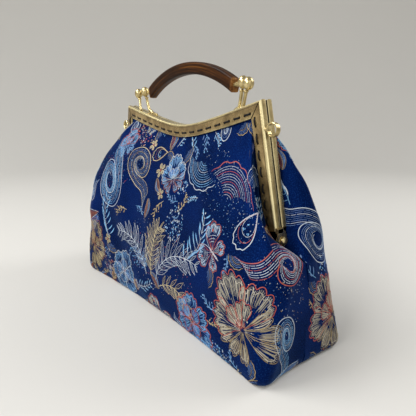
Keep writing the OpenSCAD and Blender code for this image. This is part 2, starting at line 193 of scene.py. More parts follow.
def tube(path, radius, sides):
    """Round bar: circles of the given radii stand square to a path."""
    path = np.asarray(path, float)
    radius = np.broadcast_to(np.asarray(radius, float), (len(path),))
    tangent = unit(np.gradient(path, axis=0))
    across = np.cross(tangent, [0.0, 1.0, 0.0])
    across = unit(np.where(np.linalg.norm(across, axis=1, keepdims=True) < 1e-3, [1.0, 0.0, 0.0], across))
    other = np.cross(tangent, across)
    turn = np.linspace(0, 2 * math.pi, sides, endpoint=False)
    return lofted(path[:, None] + radius[:, None, None] * (
        np.cos(turn)[None, :, None] * across[:, None] + np.sin(turn)[None, :, None] * other[:, None]))


def turned(profile, centre, axis="z", sides=40, closed_ends=True):
    """Turned shape: a profile of (radius, height) carried round an axis through centre.

    A profile that starts and ends on the axis closes itself; a closed loop of profile makes a ring."""
    profile = np.asarray(profile, float)
    turn = np.linspace(0, 2 * math.pi, sides, endpoint=False)
    r = np.maximum(profile[:, 0], 0.01)
    a, b = r[:, None] * np.cos(turn), r[:, None] * np.sin(turn)
    h = np.repeat(profile[:, 1][:, None], sides, axis=1)
    order = {"z": (a, b, h), "x": (h, a, b), "y": (b, h, a)}[axis]
    return lofted(np.stack(order, axis=-1) + np.asarray(centre, float), closed_ends)


def spline(points, steps):
    """Catmull-Rom curve through points along the first axis, with steps samples a span."""
    p = np.asarray(points, float)
    ext = np.concatenate([2 * p[:1] - p[1:2], p, 2 * p[-1:] - p[-2:-1]])
    t = np.linspace(0, 1, steps, endpoint=False).reshape((-1,) + (1,) * (p.ndim - 1))
    spans = []
    for i in range(1, len(ext) - 2):
        a, b, c, d = ext[i - 1], ext[i], ext[i + 1], ext[i + 2]
        spans.append(0.5 * (2 * b + (c - a) * t + (2 * a - 5 * b + 4 * c - d) * t ** 2
                            + (3 * b - a - 3 * c + d) * t ** 3))
    return np.concatenate(spans + [p[-1:]])


# ---- The frame's edge, seen from the front ----

def rail_z(x):
    """Height of the frame's edge: a soft V, almost straight from its dip out to the corners."""
    u = np.abs(x) / CORNER_X
    bend = (np.sqrt(u * u + DIP_SOFT ** 2) - DIP_SOFT) / (math.sqrt(1 + DIP_SOFT ** 2) - DIP_SOFT)
    return CORNER_Z - RAIL_DIP * (1 - bend)


def leg_x(z):
    """Distance of a leg's outer edge from the middle at a height, on the line from corner to hinge."""
    return CORNER_X + (LEG_FOOT_X - CORNER_X) * (CORNER_Z - z) / (CORNER_Z - HINGE_Z)


def frame_edge(rail_steps=48):
    """[x, z] along the frame's outer edge, from the left leg's foot over the rail to the right leg's foot."""
    x = np.linspace(-CORNER_X, CORNER_X, rail_steps + 1)
    foot = leg_x(LEG_END_Z)
    return np.concatenate([[[-foot, LEG_END_Z]], np.stack([x, rail_z(x)], 1), [[foot, LEG_END_Z]]])


def inset(path, d):
    """The edge path moved inwards, to its right, by d, each point along the mitre of its two sides.

    Rail points that would pass the corners are left out."""
    step = unit(np.diff(path, axis=0))
    before = np.concatenate([step[:1], step])
    after = np.concatenate([step, step[-1:]])
    normal = np.stack([before[:, 1], -before[:, 0]], 1)
    mitre = unit(normal + np.stack([after[:, 1], -after[:, 0]], 1))
    moved = path + mitre * d / np.sum(mitre * normal, axis=1, keepdims=True)
    keep = np.abs(moved[:, 0]) < abs(moved[1, 0]) - 1e-6
    keep[[0, 1, -2, -1]] = True
    return moved[keep]


def arc_length(path):
    """Distance along a path from its start to each of its points."""
    return np.concatenate([[0], np.cumsum(np.linalg.norm(np.diff(path, axis=0), axis=1))])


def along(path, s):
    """Points at distances s along a path, by linear interpolation of its arc length."""
    length = arc_length(path)
    return np.stack([np.interp(s, length, path[:, k]) for k in range(path.shape[1])], axis=-1)


def path_length(path):
    """Sum of the distances between a path's points."""
    return float(np.linalg.norm(np.diff(path, axis=0), axis=1).sum())


def upright(line, y):
    """Points [x, z] stood up at a depth y."""
    return np.stack([line[:, 0], np.full(len(line), y), line[:, 1]], 1)


def hole_row(run, stitches):
    """Sewing holes along a run: evenly spaced, two to a stitch, with a margin at both ends."""
    return along(run, np.linspace(RUN_MARGIN, path_length(run) - RUN_MARGIN, 2 * stitches))


STITCH_LINE = inset(frame_edge(), STITCH_INSET)
RAIL_HOLES = hole_row(STITCH_LINE[1:-1], RAIL_STITCHES)
LEG_HOLES = hole_row(STITCH_LINE[[-1, -2]], LEG_STITCHES)
ALL_HOLES = np.concatenate([RAIL_HOLES, LEG_HOLES, LEG_HOLES * [-1, 1]])


# ---- Cloth ----

# Each leg takes LEG_SHARE of a row's columns. The drawn grid is coarse and gets FINE_COLUMNS and FINE_ROWS
# steps to each of its own. The two halves meet SEAM_Y off the middle plane; the cloth leaves the flange
# TUCK_INSET from the frame's edge, BEHIND the sheet metal.
LEG_SHARE = 0.24
COLUMNS, UPPER_ROWS = 48, 9
FINE_COLUMNS, FINE_ROWS = 5, 6
SEAM_Y = 0.15
TUCK_INSET = FLANGE_W + 1.0
BEHIND = Y_OUT - SHEET_T - 0.25

# Rows of the lower bag: height, then the corner's outermost point (x, y) on the front's left, the front's
# right and the back's left, all as distances; then the corner's radius, the end's middle x and the long
# side's middle y.
OUTLINES = np.array([
    [80.0, 145.0, 41.5, 143.5, 40.0, 136.0, 35.0, 24.0, 148.3, 37.5],
    [66.0, 146.0, 42.0, 145.0, 41.5, 138.0, 36.5, 22.0, 150.5, 40.0],
    [51.0, 147.0, 43.0, 147.0, 42.5, 140.0, 38.5, 19.0, 151.0, 42.0],
    [36.0, 148.0, 44.0, 148.0, 43.5, 142.0, 40.5, 16.0, 151.0, 42.5],
    [23.0, 149.0, 45.0, 149.0, 44.5, 144.5, 42.5, 13.0, 150.5, 43.0],
    [10.0, 149.0, 46.0, 149.0, 45.5, 147.5, 44.5, 10.0, 150.0, 42.0],
    [3.2, 147.5, 45.3, 147.5, 44.8, 146.5, 44.0, 9.0, 148.5, 40.4],
    [0.2, 144.0, 42.5, 144.0, 42.5, 143.0, 41.5, 9.0, 146.0, 38.0],
])
# Lines down the cloth from the flange's inner edge to the first row: the side seam, the three corners and the
# middle of a long side, each point (x, y, z) with x and y as distances.
SIDE_LINE = [[117.0, 4.2, 94.0], [121.0, 1.8, 88.6], [125.0, 0.3, 86.4], [132.0, 0.2, 85.9],
             [139.0, 0.2, 85.0], [145.0, 0.2, 82.8]]
LEFT_RIDGE = [[97.0, 8.8, 175.0], [106.0, 12.0, 168.0], [115.0, 16.0, 160.0], [123.5, 22.5, 148.0],
              [130.0, 28.5, 136.0], [138.0, 34.5, 116.0], [141.5, 37.5, 102.0]]
RIGHT_RIDGE = [[93.0, 7.5, 176.0], [95.0, 9.5, 167.0], [97.0, 12.0, 158.0], [100.0, 16.0, 147.0],
               [105.0, 21.0, 136.0], [115.0, 28.0, 121.0], [127.0, 33.0, 107.0], [138.0, 36.5, 94.0]]
BACK_RIDGE = [[97.0, 8.5, 175.0], [106.0, 11.5, 168.0], [111.5, 13.0, 160.0], [115.5, 16.5, 148.0],
              [121.0, 22.0, 137.0], [128.5, 28.0, 116.0], [132.0, 31.0, 102.0]]
LEG_LINE = [[104.5, 8.0, 139.0], [106.0, 12.0, 131.0], [109.5, 18.0, 121.0], [118.0, 24.0, 109.5],
            [129.0, 27.5, 99.0], [140.0, 26.5, 89.5]]
MIDDLE_LINE = [[0.0, 14.0, 150.0], [0.0, 20.0, 137.0], [0.0, 28.0, 116.0], [0.0, 32.0, 102.0]]


def frame_line(u, set_in):
    """[x, z] on the frame's edge moved in by set_in; u runs from 0 at the left foot to 1 at the right."""
    path = inset(frame_edge(), set_in)
    leg, whole = path_length(path[:2]), path_length(path)
    return along(path, np.interp(u, [0, LEG_SHARE, 1 - LEG_SHARE, 1], [0, leg, whole - leg, whole]))


def quarter_outline(corner, radius, end_x, middle_y, steps=40):
    """Quarter of a rounded rectangle, from (end_x, 0) round its corner to (0, middle_y).

    Both sides are parabolas that meet the corner's arc; corner is the arc's point that stands out furthest in
    the direction (0.61, 0.79)."""
    bx, by = corner[0] + 0.39 * radius, corner[1] + 0.21 * radius
    t = np.linspace(0, 1, steps)[:, None]
    y = t[:, 0] * (by - radius)
    end_side = np.stack([end_x + (bx - end_x) * t[:, 0] ** 2, y], 1)
    turn = t[1:, 0] * math.pi / 2
    arc = np.stack([bx - radius + radius * np.cos(turn), by - radius + radius * np.sin(turn)], 1)
    x = (1 - t[1:, 0]) * (bx - radius)
    long_side = np.stack([x, middle_y + (by - middle_y) * (1 - t[1:, 0]) ** 2], 1)
    path = np.concatenate([end_side, arc, long_side])
    path[1:-1] = (path[:-2] + 2 * path[1:-1] + path[2:]) / 4
    length = arc_length(path)
    middle = length[steps + steps // 2 - 1]
    u = np.linspace(0, 1, COLUMNS // 2 + 1)
    return along(path, np.interp(u, [0, 2 * LEG_SHARE, 1], [0, middle, length[-1]]))


def least_bend(grid, known):
    """Grid of points with the unknown ones placed so that the sheet bends least.

    Minimises the sum of squared second differences along rows, along columns and across both, taken with the
    known points held where they are."""
    rows, cols = known.shape
    index = np.arange(rows * cols).reshape(rows, cols)
    terms = [(index[:, :-2], index[:, 1:-1], index[:, 2:]), (index[:-2], index[1:-1], index[2:])]
    blocks = []
    for a, b, c in terms:
        block = np.zeros((a.size, rows * cols))
        n = np.arange(a.size)
        block[n, a.ravel()] += 1
        block[n, b.ravel()] -= 2
        block[n, c.ravel()] += 1
        blocks.append(block)
    corners = [index[:-1, :-1], index[1:, 1:], index[:-1, 1:], index[1:, :-1]]
    twist = np.zeros((corners[0].size, rows * cols))
    n = np.arange(corners[0].size)
    for corner, sign in zip(corners, (1, 1, -1, -1)):
        twist[n, corner.ravel()] += sign * math.sqrt(2)
    whole = np.concatenate(blocks + [twist])
    free = ~known.ravel()
    flat = grid.reshape(-1, 3).copy()
    flat[free] = np.linalg.lstsq(whole[:, free], -whole[:, ~free] @ flat[~free], rcond=None)[0]
    return flat.reshape(grid.shape)


def cloth_grid(left_ridge, right_ridge, left_columns, right_columns):
    """Grid (rows, columns, 3) of one half's cloth as a front, from behind the flange to the base's seam.

    Row 0 is the edge behind the flange and row 1 the line where the cloth leaves it. The seams, the corners
    and the middle are drawn and the outlines below are given; the cloth between them is the sheet that bends
    least."""
    u = np.linspace(0, 1, COLUMNS + 1)
    upper = UPPER_ROWS
    rows = upper + len(OUTLINES) + 3
    grid = np.zeros((rows, COLUMNS + 1, 3))
    for row, set_in in ((0, 4.0), (1, TUCK_INSET)):
        grid[row] = upright(frame_line(u, set_in), -BEHIND)
    for k, level in enumerate(OUTLINES):
        left = quarter_outline(level[left_columns], *level[7:])
        right = quarter_outline(level[right_columns], *level[7:])
        x = np.concatenate([-left[:, 0], right[-2::-1, 0]])
        y = -np.concatenate([left[:, 1], right[-2::-1, 1]])
        grid[upper + k] = np.stack([x, y, np.full(len(u), level[0])], 1)
    for k, share in enumerate((0.7, 0.35, 0.0)):
        grid[rows - 3 + k] = grid[rows - 4] * [0.99 - 0.01 * k, share, 1.0]
    known = np.ones((rows, COLUMNS + 1), bool)
    known[2:upper] = False
    leg = int(LEG_SHARE * COLUMNS + 0.5)
    drawn = ((0, SIDE_LINE, -1), (leg, left_ridge, -1), (COLUMNS // 2, MIDDLE_LINE, 1),
             (COLUMNS - leg, right_ridge, 1), (COLUMNS - leg // 2, LEG_LINE, 1), (COLUMNS, SIDE_LINE, 1))
    for column, points, side in drawn:
        points = np.array(points) * [side, -1, 1]
        line = spline(np.concatenate([grid[1:2, column], points, grid[upper:upper + 1, column]]), 16)
        grid[1:upper + 1, column] = along(line, np.linspace(0, path_length(line), upper))
        known[2:upper, column] = True
    grid[1:upper + 2] = least_bend(grid[1:upper + 2], known[1:upper + 2])
    grid[:, :, 1] = np.minimum(grid[:, :, 1], -SEAM_Y)
    return grid


def upsampled(grid):
    """The grid with Catmull-Rom points added between its rows and its columns."""
    dense = spline(grid, FINE_ROWS)
    return spline(dense.swapaxes(0, 1), FINE_COLUMNS).swapaxes(0, 1)


# Pairs of neighbours in a grid: along the rows, down the columns and across both ways.
NEIGHBOURS = [((slice(None), slice(0, -1)), (slice(None), slice(1, None))),
              ((slice(0, -1), slice(None)), (slice(1, None), slice(None))),
              ((slice(0, -1), slice(0, -1)), (slice(1, None), slice(1, None))),
              ((slice(0, -1), slice(1, None)), (slice(1, None), slice(0, -1)))]


def laid_flat(grid, floor_rows=3, rounds=1500, smoothing=0.07):
    """[x, y] of a cloth grid laid flat in mm, as it was cut: x along the bag and y up from the fold row.

    Starts from lengths along the rows and columns, then moves the points of the wall, as joined by springs
    of their real lengths, towards one flat sheet; a little smoothing keeps it from folding over. The floor's
    rows go on below by their lengths."""
    wall = grid[:len(grid) - floor_rows]
    row_step = np.linalg.norm(np.diff(wall, axis=1), axis=2)
    column_step = np.linalg.norm(np.diff(grid, axis=0), axis=2)
    x = np.concatenate([np.zeros((len(wall), 1)), np.cumsum(row_step, axis=1)], axis=1)
    x = x - x[:, COLUMNS // 2:COLUMNS // 2 + 1]
    y = np.concatenate([np.zeros((1, grid.shape[1])), np.cumsum(column_step, axis=0)], axis=0)
    y = y[UPPER_ROWS:UPPER_ROWS + 1] - y
    flat = np.stack([x, y[:len(wall)]], axis=-1)
    rest = [np.linalg.norm(wall[b] - wall[a], axis=-1, keepdims=True) for a, b in NEIGHBOURS]
    for _ in range(rounds):
        push = np.zeros_like(flat)
        count = np.zeros(flat.shape[:2] + (1,))
        for (a, b), length in zip(NEIGHBOURS, rest):
            gap = flat[b] - flat[a]
            move = 0.5 * gap * (1 - length / np.maximum(np.linalg.norm(gap, axis=-1, keepdims=True), 1e-6))
            push[a] += move
            push[b] -= move
            count[a] += 1
            count[b] += 1
        even = np.zeros_like(flat)
        even[1:-1] += (flat[2:] + flat[:-2] - 2 * flat[1:-1]) / 4
        even[:, 1:-1] += (flat[:, 2:] + flat[:, :-2] - 2 * flat[:, 1:-1]) / 4
        flat += 1.2 * push / count + smoothing * even
    floor = flat[-1] + np.stack([np.zeros_like(y[len(wall):]), y[len(wall):] - y[len(wall) - 1]], axis=-1)
    return np.concatenate([flat, floor])


def bilinear(grid, i, j):
    """Values of a grid at fractional rows i and columns j."""
    i = np.clip(i, 0, grid.shape[0] - 1.001)
    j = np.clip(j, 0, grid.shape[1] - 1.001)
    i0, j0 = i.astype(int), j.astype(int)
    a, b = (i - i0)[:, None], (j - j0)[:, None]
    g = grid.reshape(grid.shape[0], grid.shape[1], -1)
    return ((1 - a) * ((1 - b) * g[i0, j0] + b * g[i0, j0 + 1])
            + a * ((1 - b) * g[i0 + 1, j0] + b * g[i0 + 1, j0 + 1]))


def find_on_cloth(flat, points, rounds=12):
    """Fractional rows and columns where the flat sheet has the given points, and which of them lie on it.

    Starts at the nearest sheet point on a 2 mm raster, then takes Newton steps on the bilinear grid."""
    low = flat.min((0, 1)) - 4
    size = ((flat.max((0, 1)) + 4 - low) / 2).astype(int) + 2
    raster = np.full((size[0], size[1], 2), -1.0)
    ii, jj = np.meshgrid(np.arange(flat.shape[0]), np.arange(flat.shape[1]), indexing="ij")
    cell = ((flat - low) / 2).astype(int)
    raster[cell[..., 0], cell[..., 1]] = np.stack([ii, jj], -1)
    for _ in range(6):
        for axis, shift in ((0, 1), (0, -1), (1, 1), (1, -1)):
            moved = np.roll(raster, shift, axis)
            empty = (raster[..., 0] < 0) & (moved[..., 0] >= 0)
            raster[empty] = moved[empty]
    cell = np.clip(((points - low) / 2).astype(int), 0, size - 1)
    guess = raster[cell[:, 0], cell[:, 1]]
    on = guess[:, 0] >= 0
    i, j = np.where(on, guess[:, 0], 0.0), np.where(on, guess[:, 1], 0.0)
    top, side = flat.shape[0] - 1.0, flat.shape[1] - 1.0
    for _ in range(rounds):
        here = bilinear(flat, i, j)
        di = bilinear(flat, np.minimum(i + 0.5, top), j) - bilinear(flat, np.maximum(i - 0.5, 0), j)
        dj = bilinear(flat, i, np.minimum(j + 0.5, side)) - bilinear(flat, i, np.maximum(j - 0.5, 0))
        miss = points - here
        det = di[:, 0] * dj[:, 1] - di[:, 1] * dj[:, 0]
        det = np.where(np.abs(det) < 1e-6, 1e-6, det)
        i = np.clip(i + np.clip((miss[:, 0] * dj[:, 1] - miss[:, 1] * dj[:, 0]) / det, -4, 4), 0, top)
        j = np.clip(j + np.clip((di[:, 0] * miss[:, 1] - di[:, 1] * miss[:, 0]) / det, -4, 4), 0, side)
    on &= np.linalg.norm(points - bilinear(flat, i, j), axis=1) < 0.3
    return i, j, on


def normals_of(grid):
    """Unit normals of a cloth grid that point out of the bag."""
    along_row = np.gradient(grid, axis=1)
    down = np.gradient(grid, axis=0)
    return unit(np.cross(down, along_row))


# ---- Materials ----

def linear(hex_colour):
    """Linear RGBA of an sRGB hex colour."""
    c = np.array([int(hex_colour[k:k + 2], 16) for k in (1, 3, 5)]) / 255
    return tuple(np.where(c <= 0.04045, c / 12.92, ((c + 0.055) / 1.055) ** 2.4)) + (1.0,)


def node(tree, kind, settings=None, links=None):
    """Adds a shader node; settings go to ramp stops, properties or input values, links to its inputs."""
    made = tree.nodes.new("ShaderNode" + kind)
    for name, value in (settings or {}).items():
        if name == "stops":
            band = made.color_ramp.elements
            while len(band) < len(value):
                band.new(0.5)
            for element, (place, colour) in zip(band, value):
                element.position = place
                element.color = linear(colour)
        elif isinstance(name, str) and hasattr(made, name):
            setattr(made, name, value)
        else:
            made.inputs[name].default_value = value
    for name, source in (links or {}).items():
        tree.links.new(source, made.inputs[name])
    return made


def material(name, **values):
    """New material, its tree and its Principled shader, whose inputs get the values; _ stands for a space."""
    made = bpy.data.materials.new(name)
    made.use_nodes = True
    shader = made.node_tree.nodes["Principled BSDF"]
    for key, value in values.items():
        shader.inputs[key.replace("_", " ")].default_value = value
    return made, made.node_tree, shader


def plain(name, colour, **values):
    """A material of one colour."""
    return material(name, Base_Color=linear(colour), **values)[0]


def dress(tree, shader, colour, height=None, strength=0.0):
    """Gives a shader its base colour and, where there is a height, a fine relief of some strength."""
    tree.links.new(colour, shader.inputs["Base Color"])
    if height:
        relief = node(tree, "Bump", {"Strength": strength, "Distance": 0.2 * MM}, {"Height": height})
        tree.links.new(relief.outputs["Normal"], shader.inputs["Normal"])


def position(tree, scale=(1.0, 1.0, 1.0)):
    """Object coordinates in millimetres, stretched by a scale."""
    place = node(tree, "TexCoord").outputs["Object"]
    return node(tree, "VectorMath", {"operation": "MULTIPLY", 1: tuple(s / MM for s in scale)},
                {0: place}).outputs["Vector"]


def weave(tree, place, pitch):
    """Height of a satin weave: fine ribs along the cloth crossed by a twill line, in millimetre coordinates.

    The ribs stand one pitch apart and the twill lines 2.6, coarser than real silk so that they still show."""
    ribs = node(tree, "TexWave", {"wave_type": "BANDS", "bands_direction": "Y", "Scale": 0.314 / pitch},
                {"Vector": place}).outputs["Fac"]
    twill = node(tree, "TexWave", {"wave_type": "BANDS", "bands_direction": "DIAGONAL",
                                   "Scale": 0.12 / pitch}, {"Vector": place}).outputs["Fac"]
    return node(tree, "MixRGB", {"Fac": 0.4}, {"Color1": ribs, "Color2": twill}).outputs["Color"]


def brass_material():
    """Antique brass, brushed and lacquered: a warm soft shine, dull where the flange has tarnished, painted
    pale as a highlight on rounded edges and painted nearly black as shade in recesses. Clouds are about 18 mm
    across and brush marks about 1 mm."""
    made, tree, shader = material("antique_brass")
    cloud = node(tree, "TexNoise", {"Scale": 0.055, "Detail": 4.0, "Roughness": 0.6},
                 {"Vector": position(tree)}).outputs["Fac"]
    brush = node(tree, "TexNoise", {"Scale": 1.1, "Detail": 3.0, "Roughness": 0.7},
                 {"Vector": position(tree, (0.12, 1.6, 0.12))}).outputs["Fac"]
    shade = node(tree, "MixRGB", {"Fac": 0.35}, {"Color1": cloud, "Color2": brush}).outputs["Color"]
    bright = node(tree, "ValToRGB", {"stops": [(0.30, "#76653C"), (0.50, "#C4B180"), (0.72, "#F6E9B6")]},
                  {"Fac": shade}).outputs["Color"]
    dull = node(tree, "ValToRGB", {"stops": [(0.30, "#4A3A20"), (0.50, "#85704A"), (0.72, "#B49C6C")]},
                {"Fac": shade}).outputs["Color"]
    tarnish, rubbed, patina = [node(tree, "Attribute", {"attribute_name": name}).outputs["Fac"]
                               for name in ("tarnish", "rubbed", "patina")]
    colour = node(tree, "MixRGB", links={"Fac": tarnish, "Color1": bright, "Color2": dull}).outputs["Color"]
    # Painted highlight: pale brass laid on the rounded edges. Painted shade: near black laid in the recesses.
    for share, other in ((rubbed, "#F8EBB8"), (patina, "#120C05")):
        colour = node(tree, "MixRGB", {"Color2": linear(other)},
                      {"Fac": share, "Color1": colour}).outputs["Color"]
    dress(tree, shader, colour, brush, 0.05)
    rough = node(tree, "MapRange", {"From Min": 0.3, "From Max": 0.7, "To Min": 0.36, "To Max": 0.19},
                 {"Value": cloud}).outputs["Result"]
    tree.links.new(rough, shader.inputs["Roughness"])
    tarnish_and_highlight = node(tree, "Math", {"operation": "MAXIMUM"}, {0: tarnish, 1: rubbed}).outputs["Value"]
    metal = node(tree, "MapRange", {"To Min": 0.92, "To Max": 0.55}, {"Value": tarnish_and_highlight}).outputs["Result"]
    tree.links.new(metal, shader.inputs["Metallic"])
    return made


def wood_material():
    """Dark stained rosewood under a thin clear coat: brown and black streaks with a faint gloss, with the
    ends painted paler as light falling on them. The streaks are about 1 mm wide and 30 mm long and follow the
    grip's own arc."""
    made, tree, shader = material("rosewood", Roughness=0.45, Specular_IOR_Level=0.08, Coat_Weight=0.05,
                                  Coat_Roughness=0.1)
    arc = node(tree, "Attribute", {"attribute_name": "grain"}).outputs["Vector"]
    stretched = node(tree, "VectorMath", {"operation": "MULTIPLY", 1: (0.035, 0.9, 0.9)},
                     {0: arc}).outputs["Vector"]
    grain = node(tree, "TexNoise", {"Scale": 0.9, "Detail": 6.0, "Roughness": 0.65, "Distortion": 0.6},
                 {"Vector": stretched}).outputs["Fac"]
    broad = node(tree, "TexNoise", {"Scale": 0.22, "Detail": 2.0}, {"Vector": stretched}).outputs["Fac"]
    shade = node(tree, "MixRGB", {"Fac": 0.4}, {"Color1": grain, "Color2": broad}).outputs["Color"]
    stained = [(0.28, "#0E0501"), (0.45, "#221004"), (0.58, "#44250A"), (0.75, "#82551E")]
    lit_end_stops = [(0.32, "#2E1707"), (0.48, "#6E4520"), (0.7, "#A67C45")]
    sides, ends = [node(tree, "ValToRGB", {"stops": stops}, {"Fac": shade}).outputs["Color"]
                   for stops in (stained, lit_end_stops)]
    # Painted light: the grip's ends are mixed towards a paler brown, as if lit.
    lit_share = node(tree, "Attribute", {"attribute_name": "sawn_end"}).outputs["Fac"]
    colour = node(tree, "MixRGB", links={"Fac": lit_share, "Color1": sides, "Color2": ends}).outputs["Color"]
    dress(tree, shader, colour, grain, 0.10)
    return made


def thread_material():
    """Waxed black-navy sewing thread: a matt dark line on the brass."""
    return plain("sewing_thread", "#05060A", Roughness=0.6, Specular_IOR_Level=0.2)


def ground_material():
    """Royal blue silk satin, the ground of the brocade: deep blue with a blue sheen where it turns away.

    Its soft clouds are about 50 mm across and the flecks of lighter warp thread about 1 mm."""
    made, tree, shader = material(
        "brocade_ground", Roughness=0.46, Metallic=0.3, Specular_IOR_Level=0.02,
        Specular_Tint=linear("#2C57B4"), Sheen_Weight=0.35, Sheen_Roughness=0.35,
        Sheen_Tint=linear("#4A8AD8"))
    flat = node(tree, "Attribute", {"attribute_name": "flat_mm"}).outputs["Vector"]
    cloud = node(tree, "TexNoise", {"Scale": 0.02, "Detail": 3.0}, {"Vector": flat}).outputs["Fac"]
    broad = node(tree, "ValToRGB", {"stops": [(0.3, "#020B2C"), (0.7, "#04184B")]},
                 {"Fac": cloud}).outputs["Color"]
    fleck = node(tree, "TexNoise", {"Scale": 0.9, "Detail": 2.0, "Roughness": 0.8},
                 {"Vector": flat}).outputs["Fac"]
    share = node(tree, "MapRange", {"From Min": 0.50, "From Max": 0.75, "To Max": 0.55},
                 {"Value": fleck}).outputs["Result"]
    colour = node(tree, "MixRGB", {"Color2": linear("#1A4488")},
                  {"Fac": share, "Color1": broad}).outputs["Color"]
    dress(tree, shader, colour, weave(tree, flat, 0.45), 0.25)
    return made


def figure_material():
    """Silk and gilt threads of the brocade's figures: soft lit ribs, each figure in its own colour."""
    made, tree, shader = material("brocade_figures", Roughness=0.5)
    colour = node(tree, "Attribute", {"attribute_name": "thread_colour"}).outputs["Color"]
    flat = node(tree, "Attribute", {"attribute_name": "flat_mm"}).outputs["Vector"]
    dress(tree, shader, colour, weave(tree, flat, 0.45), 0.3)
    return made


def mottled(name, dark, light, scale, detail, roughness):
    """A matt material whose two shades change in patches of 1 / scale mm."""
    made, tree, shader = material(name, Roughness=roughness)
    cloud = node(tree, "TexNoise", {"Scale": scale, "Detail": detail},
                 {"Vector": position(tree)}).outputs["Fac"]
    dress(tree, shader, node(tree, "ValToRGB", {"stops": [dark, light]}, {"Fac": cloud}).outputs["Color"])
    return made


def lining_material():
    """Plain woven cotton, dyed navy: matt, with a faint unevenness of its yarn."""
    return mottled("cotton_lining", (0.3, "#1B2140"), (0.7, "#272E52"), 0.9, 3.0, 0.9)


def board_material():
    """Pressed grey fibre board under the lining: matt and speckled."""
    return mottled("grey_board", (0.35, "#6E685C"), (0.65, "#8C8576"), 0.6, 4.0, 0.85)


BRASS = brass_material()
WOOD = wood_material()
THREAD = thread_material()
GROUND = ground_material()
FIGURES = figure_material()
LINING = lining_material()
BOARD = board_material()


# ---- Brass ----

# Section of a half's frame: distance in from its outer edge and y, round the bent sheet.
FRAME_SECTION = [
    [11.5, -5.9], [11.5, -6.4], [11.2, -6.7], [10.7, -6.75], [2.9, -6.75], [2.55, -6.6], [2.2, -6.74],
    [1.5, -6.6], [0.8, -6.15], [0.3, -5.5], [0.05, -4.7], [-0.1, -3.4], [-0.05, -2.1], [0.15, -1.0],
    [0.45, -0.45], [0.95, -0.25], [1.15, -0.6], [1.15, -5.0], [1.6, -5.5], [2.4, -5.65], [10.9, -5.65],
    [11.3, -5.7]]
SWEEP_U = np.concatenate([np.linspace(0, LEG_SHARE, 12), np.linspace(LEG_SHARE, 1 - LEG_SHARE, 72)[1:],
                          np.linspace(1 - LEG_SHARE, 1, 12)[1:]])


def frame_sweep():
    """The section carried along the frame's edge; each of its corners follows its own mitred inset path."""
    rings = np.empty((len(SWEEP_U), len(FRAME_SECTION), 3))
    for k, (d, y) in enumerate(FRAME_SECTION):
        rings[:, k] = upright(frame_line(SWEEP_U, d), y)
    return lofted(rings)


def hull_outline(circle_y, circle_z, r, corners, sides=40):
    """Convex outline in (y, z) round a circle and some corners, counted by direction from the circle."""
    turn = np.linspace(0, 2 * math.pi, sides, endpoint=False)
    points = np.concatenate([np.stack([circle_y + r * np.cos(turn), circle_z + r * np.sin(turn)], 1),
                             np.array(corners, float)])
    points = points[np.lexsort((points[:, 1], points[:, 0]))]
    hull = []
    for sweep in (points, points[::-1]):
        part = []
        for p in sweep:
            while len(part) > 1 and np.cross(part[-1] - part[-2], p - part[-2]) <= 0:
                part.pop()
            part.append(p)
        hull += part[:-1]
    return np.array(hull)


def plate_x(outline, x0, x1, edge=0.25):
    """Plate across X with an outline in (y, z) and softened edges."""
    middle = outline.mean(axis=0)
    shrink = 1 - edge / np.linalg.norm(outline - middle, axis=1, keepdims=True)
    small = middle + (outline - middle) * shrink
    return lofted([np.column_stack([np.full(len(o), x), o])
                   for x, o in ((x0, small), (x0 + edge, outline), (x1 - edge, outline), (x1, small))])


def soft_box(low, high, edge=0.3):
    """Box with softened edges, as a plate across X."""
    (y0, z0), (y1, z1) = low[1:], high[1:]
    return plate_x(np.array([[y0, z0], [y1, z0], [y1, z1], [y0, z1]]), low[0], high[0], edge)


def cut_holes(obj, cutters):
    """Cuts the cutters out of an object for good."""
    tool = mesh_object("cutter", *cutters, BRASS)
    cut = obj.modifiers.new("holes", "BOOLEAN")
    cut.object, cut.operation, cut.solver = tool, "DIFFERENCE", "EXACT"
    shaped = bpy.data.meshes.new_from_object(obj.evaluated_get(bpy.context.evaluated_depsgraph_get()))
    obj.modifiers.clear()
    obj.data = shaped
    bpy.data.objects.remove(tool)
    shade(shaped, 35)


def flange_cutters():
    """Sewing holes with a softened rim, and the open mitres across the flange's two corners."""
    outside, through = -Y_OUT - 1.0, -Y_OUT + 2.0
    hole = [[0, outside], [HOLE_R + 0.2, outside], [HOLE_R + 0.15, -Y_OUT - 0.02], [HOLE_R, -Y_OUT + 0.15],
            [HOLE_R, through], [0, through]]
    holes = [turned(hole, (x, 0, z), "y", 16) for x, z in ALL_HOLES]
    corner, inner = frame_edge()[-2], inset(frame_edge(), FLANGE_W)[-2]
    way = unit(corner - inner)
    side = np.array([-way[1], way[0]]) * SLIT_W / 2
    start, end = inner - way * 1.5, corner - way * 1.9
    slit = np.array([start - side, end - side * 0.6, end + side * 0.6, start + side])
    slit = lofted([upright(slit, y) for y in (outside, -Y_OUT + 1.3)])
    return joined(holes + [both_sides(slit)])


